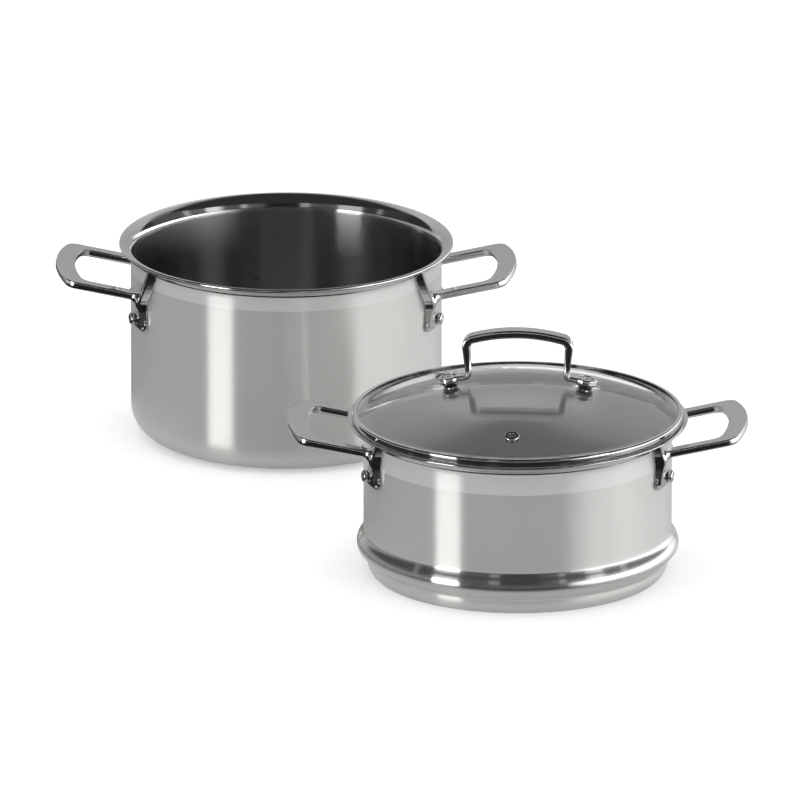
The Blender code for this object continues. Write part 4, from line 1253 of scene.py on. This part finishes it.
def strap_line():
    """Middle line of half the strap, from its screw up and over to the middle of its top."""
    crown_middle = GLASS_TOP + STRAP_TOP - STRAP_TOP_THICK / 2
    slope = math.tan(math.asin(STACK_REACH / DOME_RADIUS))
    spot = STACKS["right"] @ Vector((0.0, 0.0, FOOT_LIFT + FOOT_THICK / 2))
    screw = (spot.x, spot.z)
    heel = (STRAP_HALF_HEEL, screw[1] + (screw[0] - STRAP_HALF_HEEL) * slope)
    crown_centre = (0.0, crown_middle - STRAP_ARCH)
    lean = math.asin(STRAP_HALF_TOP / STRAP_ARCH)
    shoulder = (STRAP_HALF_TOP, crown_centre[1] + STRAP_ARCH * math.cos(lean))
    crown = arc(crown_centre, STRAP_ARCH, math.pi / 2 - lean, math.pi / 2, 14)
    parts = [
        [screw],
        fillet(screw, heel, shoulder, STRAP_HEEL_ROUND, 8),
        fillet(heel, shoulder, crown[1], STRAP_SHOULDER, 12),
        crown[3:],
        [(-0.004, crown[-1][1])],
    ]
    return np.concatenate(parts)


STRAP_PATH = strap_line()
print("Strap line:", len(STRAP_PATH), "points")

# %% [markdown]
# The strap is thicker over the top than at its feet, with a round pad at each end for the screw.
# It is another job for a distance field: the strap is the line with a thickness, the pads are
# short discs blended on to it, and the screw holes are taken away.

# %% Lid handle
STRAP_WIDTH = 0.0100
STRAP_EDGE = 0.0013
TAPER_SHARE = 0.75
FOOT_RADIUS = 0.0070
FOOT_EDGE_ROUND = 0.0010
FOOT_BLEND = 0.0010
STRAP_NET_STEP = 0.0004


def strap_field(x, y, z):
    """The lid handle: strap and pads blended, less the screw's hole and sunk head.

    The side is |x|, so both halves are the same. u and w are the place in the frame of a foot.
    """
    side = np.abs(x)
    gap, _ = line_distance(side, z, STRAP_PATH)
    low, top = STRAP_PATH[0][1], STRAP_PATH[-1][1]
    share = np.clip((z - low) / (TAPER_SHARE * (top - low)), 0.0, 1.0)
    thick = FOOT_THICK + (STRAP_TOP_THICK - FOOT_THICK) * share
    strap = rounded_and(gap - thick / 2, np.abs(y) - STRAP_WIDTH / 2, STRAP_EDGE)
    inverse = np.array(STACKS["right"].inverted())
    u = inverse[0, 0] * side + inverse[0, 2] * z + inverse[0, 3]
    w = inverse[2, 0] * side + inverse[2, 2] * z + inverse[2, 3]
    reach = np.hypot(u, y)
    half = FOOT_THICK / 2
    disc = np.abs(w - FOOT_LIFT - half) - half - FOOT_PROUD
    pad = rounded_and(reach - FOOT_RADIUS, disc, FOOT_EDGE_ROUND)
    whole = blended_or(strap, pad, FOOT_BLEND)
    seat = FOOT_LIFT + FOOT_THICK - SCREW_DEPTH - SEAT_GAP
    sink = np.maximum(reach - SCREW_HEAD - SEAT_GAP, seat - w)
    hole = np.minimum(sink, reach - SCREW_SHANK - SEAT_GAP)
    return np.maximum(whole, -hole)


strap_points, strap_faces = surface_net(
    strap_field,
    (-STACK_REACH - 0.009, -0.0072, GLASS_TOP + 0.009),
    (STACK_REACH + 0.009, 0.0072, GLASS_TOP + STRAP_TOP + 0.002),
    STRAP_NET_STEP,
)
lid_handle = new_object("lid_strap_handle", strap_points, strap_faces)
close_up(lid_handle, NET_WELD)
lid_handle.data.transform(lid_frame)
strap_steel = polished("strap_steel", (0.68, 0.68, 0.67), 0.06, 0.10, 160.0)
assign(lid_handle, strap_steel)
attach(lid_handle, "lid")
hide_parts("lid_handle")
print("Lid handle:", len(strap_faces), "faces")

# %% [markdown]
# The studio. A white background is only the colour of the floor and the world where the camera, a
# polished face or the glass looks at them, and adds no light to the object. Light Path tells the
# kinds of ray apart: its camera, glossy and transmission outputs are joined into one switch.

# %% Floor and world
def stage_grid(name, points, rows, columns, material):
    """A stage piece from a grid of points."""
    item = new_object(name, points.reshape(-1, 3), grid_faces(rows, columns))
    assign(item, material)
    return item


def larger(tree, first, second):
    """Socket with the larger of two values."""
    node = tree.nodes.new("ShaderNodeMath")
    node.operation = "MAXIMUM"
    tree.links.new(first, node.inputs[0])
    tree.links.new(second, node.inputs[1])
    return node.outputs["Value"]


def seen_directly(tree):
    """1 for rays from the camera, from a glossy face or through glass, 0 for all others."""
    path = tree.nodes.new("ShaderNodeLightPath").outputs
    either = larger(tree, path["Is Camera Ray"], path["Is Glossy Ray"])
    return larger(tree, either, path["Is Transmission Ray"])


FLOOR_REACH = 6.0
FLOOR_LIFT = 0.30
WORLD_LEVEL = 0.95
WHITE = (1.0, 1.0, 1.0, 1.0)
floor_paint, tree, shader = principled("studio_floor", (0.88, 0.88, 0.88), 0.9, 0.0)
shader.inputs["Specular IOR Level"].default_value = 0.0
shader.inputs["Emission Color"].default_value = WHITE
lift = tree.nodes.new("ShaderNodeMath")
lift.operation = "MULTIPLY"
lift.inputs[1].default_value = FLOOR_LIFT
tree.links.new(seen_directly(tree), lift.inputs[0])
tree.links.new(lift.outputs["Value"], shader.inputs["Emission Strength"])
reach = np.linspace(-FLOOR_REACH, FLOOR_REACH, 9)
plane = np.stack(np.meshgrid(reach, reach, [0.0], indexing="xy"), axis=-1)
stage_grid("studio_floor", plane, 9, 9, floor_paint)

world = bpy.data.worlds.new("studio")
bpy.context.scene.world = world
world.use_nodes = True
tree = world.node_tree
background = tree.nodes["Background"]
background.inputs["Color"].default_value = WHITE
span = tree.nodes.new("ShaderNodeMapRange")
span.inputs["To Min"].default_value = WORLD_LEVEL
span.inputs["To Max"].default_value = 1.0
tree.links.new(seen_directly(tree), span.inputs["Value"])
tree.links.new(span.outputs["Result"], background.inputs["Strength"])
print("World light", WORLD_LEVEL, "and floor lift", FLOOR_LIFT)

# %% [markdown]
# Polished steel only looks like steel when it has something to reflect, so glowing cards stand
# round the set, just as a photographer would place them. Only reflections see them, so they add
# no light to the floor. Each card keeps its brightness at every point as an attribute of its mesh.
#
# A brushed wall spreads what it mirrors over a cone round its own level line. An upright edge of
# a card would blur there, so the cards' edges lean along that cone. Cards are then placed simply
# by the angle at which the wall that shows them faces, with 0 towards the camera.

# %% Cards for reflections
SET_MIDDLE = np.array([0.075, -0.15, 0.0])
BACK_LEVEL = 0.5
BACK_FROM = math.radians(130)
BACK_FADE = math.radians(30)


def for_reflections_only(item):
    """Hide a stage piece from everything but polished faces and glass."""
    item.visible_camera = False
    item.visible_diffuse = False
    item.visible_shadow = False


def glow_by_point(name):
    """Light whose strength is read from the mesh's own attribute, level."""
    material = bpy.data.materials.new(name)
    material.use_nodes = True
    tree = material.node_tree
    tree.nodes.clear()
    level = tree.nodes.new("ShaderNodeAttribute")
    level.attribute_name = "level"
    glow = tree.nodes.new("ShaderNodeEmission")
    glow.inputs["Color"].default_value = WHITE
    out = tree.nodes.new("ShaderNodeOutputMaterial")
    tree.links.new(level.outputs["Fac"], glow.inputs["Strength"])
    tree.links.new(glow.outputs["Emission"], out.inputs["Surface"])
    return material


def glowing_grid(name, turn, lift, strength, distance):
    """A curved card from grids of compass angle, height angle and strength.

    Angle 0 is the camera's side and grows towards +X: x = d sin t cos e, y = -d cos t cos e and
    z = d sin e, about the middle of the set.
    """
    level = strength + 0.0 * turn
    level_reach = np.cos(lift)
    grid = np.stack(
        [np.sin(turn) * level_reach, -np.cos(turn) * level_reach, np.sin(lift)], axis=-1
    )
    item = stage_grid(name, grid * distance + SET_MIDDLE, *turn.shape, glow_by_point(name))
    layer = item.data.attributes.new("level", "FLOAT", "POINT")
    layer.data.foreach_set("value", level.ravel().astype(np.float32))
    for_reflections_only(item)


def brushed_turn(face, lift):
    """Compass angle from which a brushed wall facing one way sends light to the camera.

    A = f + asin(cos c sin f / cos e), for a wall facing f, a camera c above the horizon and light
    from e above it.
    """
    reach = math.cos(CAMERA_ELEVATION) * np.sin(face) / np.cos(lift)
    return face + np.arcsin(np.clip(reach, -1.0, 1.0))


def wall_card(name, levels, low, high, distance):
    """A card that shows on the walls between two facing angles, with a strength at each angle.

    Behind the set it fades into the level of the back card.
    """
    faces, strengths = np.array(levels, dtype=float).T
    face = np.unique(np.concatenate([faces, np.arange(faces[0], faces[-1], 1.5)]))
    lift = np.radians(np.linspace(low, high, 17))[:, None]
    turn = brushed_turn(np.radians(face)[None, :], lift)
    ahead = np.clip((BACK_FROM + BACK_FADE - np.abs(turn)) / BACK_FADE, 0.0, 1.0)
    strength = np.interp(face, faces, strengths)[None, :] * ahead + BACK_LEVEL * (1.0 - ahead)
    glowing_grid(name, turn, lift + 0.0 * turn, strength, distance)


mirrored = round(math.degrees(brushed_turn(math.radians(20), 0.0)))
print("A wall that faces 20 degrees mirrors light from", mirrored, "degrees")

# %% [markdown]
# The insert's bead looks down at the floor, and on the real set it shows a dark stripe with a
# bright heel. A white floor alone would make it all pale. So reflections see a thin mat on the
# floor: bright close to the vessels, where they meet it, dark farther out in front, and pale again
# behind and to the right. It is a little shiny itself, so that the strip light shows in it too.

# %% Mat for reflections
MAT_HEIGHT = 0.0004
MAT_REACH = 1.4
MAT_STRETCH = 1.3
MAT_SHINE = 0.04
NEAR_LEVEL = 0.55
DARK_LEVEL = 0.012
BRIGHT_LEVEL = 0.45
DARK_RING = (0.108, 0.130)
BRIGHT_SIDE = (0.82, 0.57, 0.0)
BRIGHT_SPAN = (0.30, 0.62)


def eased_span(tree, value, ends, low, high):
    """Map Range node that eases from one level to another while a value passes two ends."""
    span = tree.nodes.new("ShaderNodeMapRange")
    span.interpolation_type = "SMOOTHSTEP"
    numbers = {"From Min": ends[0], "From Max": ends[1], "To Min": low, "To Max": high}
    for name, number in numbers.items():
        span.inputs[name].default_value = number
    tree.links.new(value, span.inputs["Value"])
    return span


def vessel_gap(tree, point):
    """Socket with the distance to the nearer vessel's axis, where X counts 1 / MAT_STRETCH."""
    shrink = np.array([1.0 / MAT_STRETCH, 1.0, 1.0])
    squeeze = tree.nodes.new("ShaderNodeMapping")
    squeeze.inputs["Scale"].default_value = shrink
    tree.links.new(point, squeeze.inputs["Vector"])
    nearer = tree.nodes.new("ShaderNodeMath")
    nearer.operation = "MINIMUM"
    for socket, centre in enumerate((ORIGIN, STEAMER_PLACE)):
        gap = tree.nodes.new("ShaderNodeVectorMath")
        gap.operation = "DISTANCE"
        gap.inputs[1].default_value = centre * shrink
        tree.links.new(squeeze.outputs["Vector"], gap.inputs[0])
        tree.links.new(gap.outputs["Value"], nearer.inputs[socket])
    return nearer.outputs["Value"]


def bright_side(tree, point):
    """Socket with the cosine between the way from the insert to a point and the bright side."""
    away = tree.nodes.new("ShaderNodeVectorMath")
    away.operation = "SUBTRACT"
    away.inputs[1].default_value = STEAMER_PLACE
    unit = tree.nodes.new("ShaderNodeVectorMath")
    unit.operation = "NORMALIZE"
    side = tree.nodes.new("ShaderNodeVectorMath")
    side.operation = "DOT_PRODUCT"
    side.inputs[1].default_value = BRIGHT_SIDE
    tree.links.new(point, away.inputs[0])
    tree.links.new(away.outputs["Vector"], unit.inputs[0])
    tree.links.new(unit.outputs["Vector"], side.inputs[0])
    return side.outputs["Value"]


def polished_mat():
    """A thin round sheet whose glow depends on the gap to a vessel and on the side it is on."""
    material, tree, shader = principled("polished_mat", (MAT_SHINE,) * 3, 0.15)
    shader.inputs["Emission Color"].default_value = WHITE
    point = tree.nodes.new("ShaderNodeTexCoord").outputs["Object"]
    far = eased_span(tree, bright_side(tree, point), BRIGHT_SPAN, DARK_LEVEL, BRIGHT_LEVEL)
    level = eased_span(tree, vessel_gap(tree, point), DARK_RING, NEAR_LEVEL, DARK_LEVEL)
    tree.links.new(far.outputs["Result"], level.inputs["To Max"])
    tree.links.new(level.outputs["Result"], shader.inputs["Emission Strength"])
    turn, reach = np.meshgrid(np.linspace(0.0, math.tau, 65), np.linspace(0.0, MAT_REACH, 9))
    grid = np.stack([reach * np.cos(turn), reach * np.sin(turn), MAT_HEIGHT + 0.0 * reach], axis=-1)
    for_reflections_only(stage_grid("polished_mat", grid + SET_MIDDLE, 9, 65, material))


polished_mat()
print("Mat reaches", MAT_REACH, "m")

# %% [markdown]
# Now the cards are lit. One strong strip makes the tall bright stripe on both walls, a broad card
# on the right fades round the far side, and weak cards on the left and in front give the walls
# their grey. A dim room closes the gaps. These cards are low, because the flared lip looks upwards
# and would mirror a tall one as a grey patch where it ought to be dark.

# %% Low cards
room_turn, room_lift = np.meshgrid(
    np.linspace(-math.pi, math.pi, 65), np.linspace(0.0, math.pi / 2, 17)
)
glowing_grid("room", room_turn, room_lift, 0.035, 7.0)
RIGHT_LEVELS = [(17.5, 0.4), (21.0, 2.2), (26.0, 3.6), (31.0, 4.4), (42.0, 4.2), (57.0, 3.0)]
FRONT_LEVELS = [
    (-20.0, 0.12), (-9.6, 0.08), (-5.9, 0.08), (-5.7, 0.14), (6.3, 0.14), (9.0, 0.10), (17.2, 0.12),
]
wall_card("strip_card", [(-30.6, 9.5), (-20.8, 9.5)], 0.0, 13.0, 5.0)
wall_card("right_card", RIGHT_LEVELS, 0.0, 13.0, 5.2)
wall_card("far_right_card", [(57.0, 3.0), (82.0, 2.2)], 0.0, 13.0, 5.2)
wall_card("left_card", [(-82.0, 0.8), (-74.0, 0.45), (-31.5, 0.33)], 0.0, 13.0, 5.2)
wall_card("front_card", FRONT_LEVELS, 3.0, 13.0, 5.3)

# %% [markdown]
# The inside of a pan mirrors what is higher up: a row of windows and lamps in a real kitchen. A
# card of narrow bright and dark bars, above the low ones, draws the fine upright streaks there.
# The dome of the lid and the inside's front show the wall behind the set, so a last card stands
# there, brighter in its middle where the lid handle is seen mirrored against it.

# %% High cards
STREAKS = [
    (-52.0, 0.05), (-39.6, 0.05), (-39.4, 0.3), (-37.6, 0.3), (-37.4, 0.05), (-30.8, 0.05),
    (-30.6, 0.6), (-20.8, 0.6), (-20.6, 0.1), (-9.6, 0.1), (-9.4, 0.4), (-6.0, 0.4),
    (-5.8, 0.02), (6.5, 0.02), (9.0, 0.1), (14.9, 0.15), (15.1, 0.5), (17.3, 0.5), (17.5, 0.1),
    (24.0, 0.1), (27.0, 1.0), (32.0, 1.0), (32.4, 0.15), (39.5, 0.15), (40.0, 0.5), (42.0, 0.5),
    (42.4, 0.1), (60.0, 0.1),
]
BACK_SIDES = [(0, 0.42), (15, 0.42), (35, 0.60), (46, 0.50), (54, 0.05)]
BACK_MIDDLE = [(0, 0.45), (15, 0.45), (25, 0.55), (34, 0.95), (43, 0.95), (46, 0.30), (48, 0.03)]
MIDDLE_HALF = 12.0
wall_card("streak_card", STREAKS, 18.0, 46.0, 5.35)
back_turn, back_lift = np.meshgrid(np.linspace(140.0, 220.0, 33), np.linspace(0.0, 60.0, 25))
side_strength = np.interp(back_lift, *np.array(BACK_SIDES).T)
middle_strength = np.interp(back_lift, *np.array(BACK_MIDDLE).T)
sideways = np.clip(np.abs(back_turn - 180.0) / MIDDLE_HALF, 0.0, 1.0) ** 2
back_strength = middle_strength + (side_strength - middle_strength) * sideways
glowing_grid("back_card", np.radians(back_turn), np.radians(back_lift), back_strength, 5.4)
print("Streaks:", len(STREAKS), "steps")

# %% [markdown]
# One large soft lamp high above gives the floor its soft shadows. It hides from reflections, so
# that the cards alone decide what the steel shows.

# %% Lamp
LAMP_WIDTH = 2.4
LAMP_WATTS = 10.0
lamp_data = bpy.data.lights.new("top_lamp", "AREA")
lamp_data.shape = "DISK"
lamp_data.size = LAMP_WIDTH
lamp_data.energy = LAMP_WATTS
lamp = bpy.data.objects.new("top_lamp", lamp_data)
bpy.context.scene.collection.objects.link(lamp)
lamp.location = (0.0, -0.4, 2.4)
lamp.visible_glossy = False
lamp.visible_transmission = False
bpy.context.scene.view_settings.view_transform = "Standard"
print("Lamp power", LAMP_WATTS, "W")
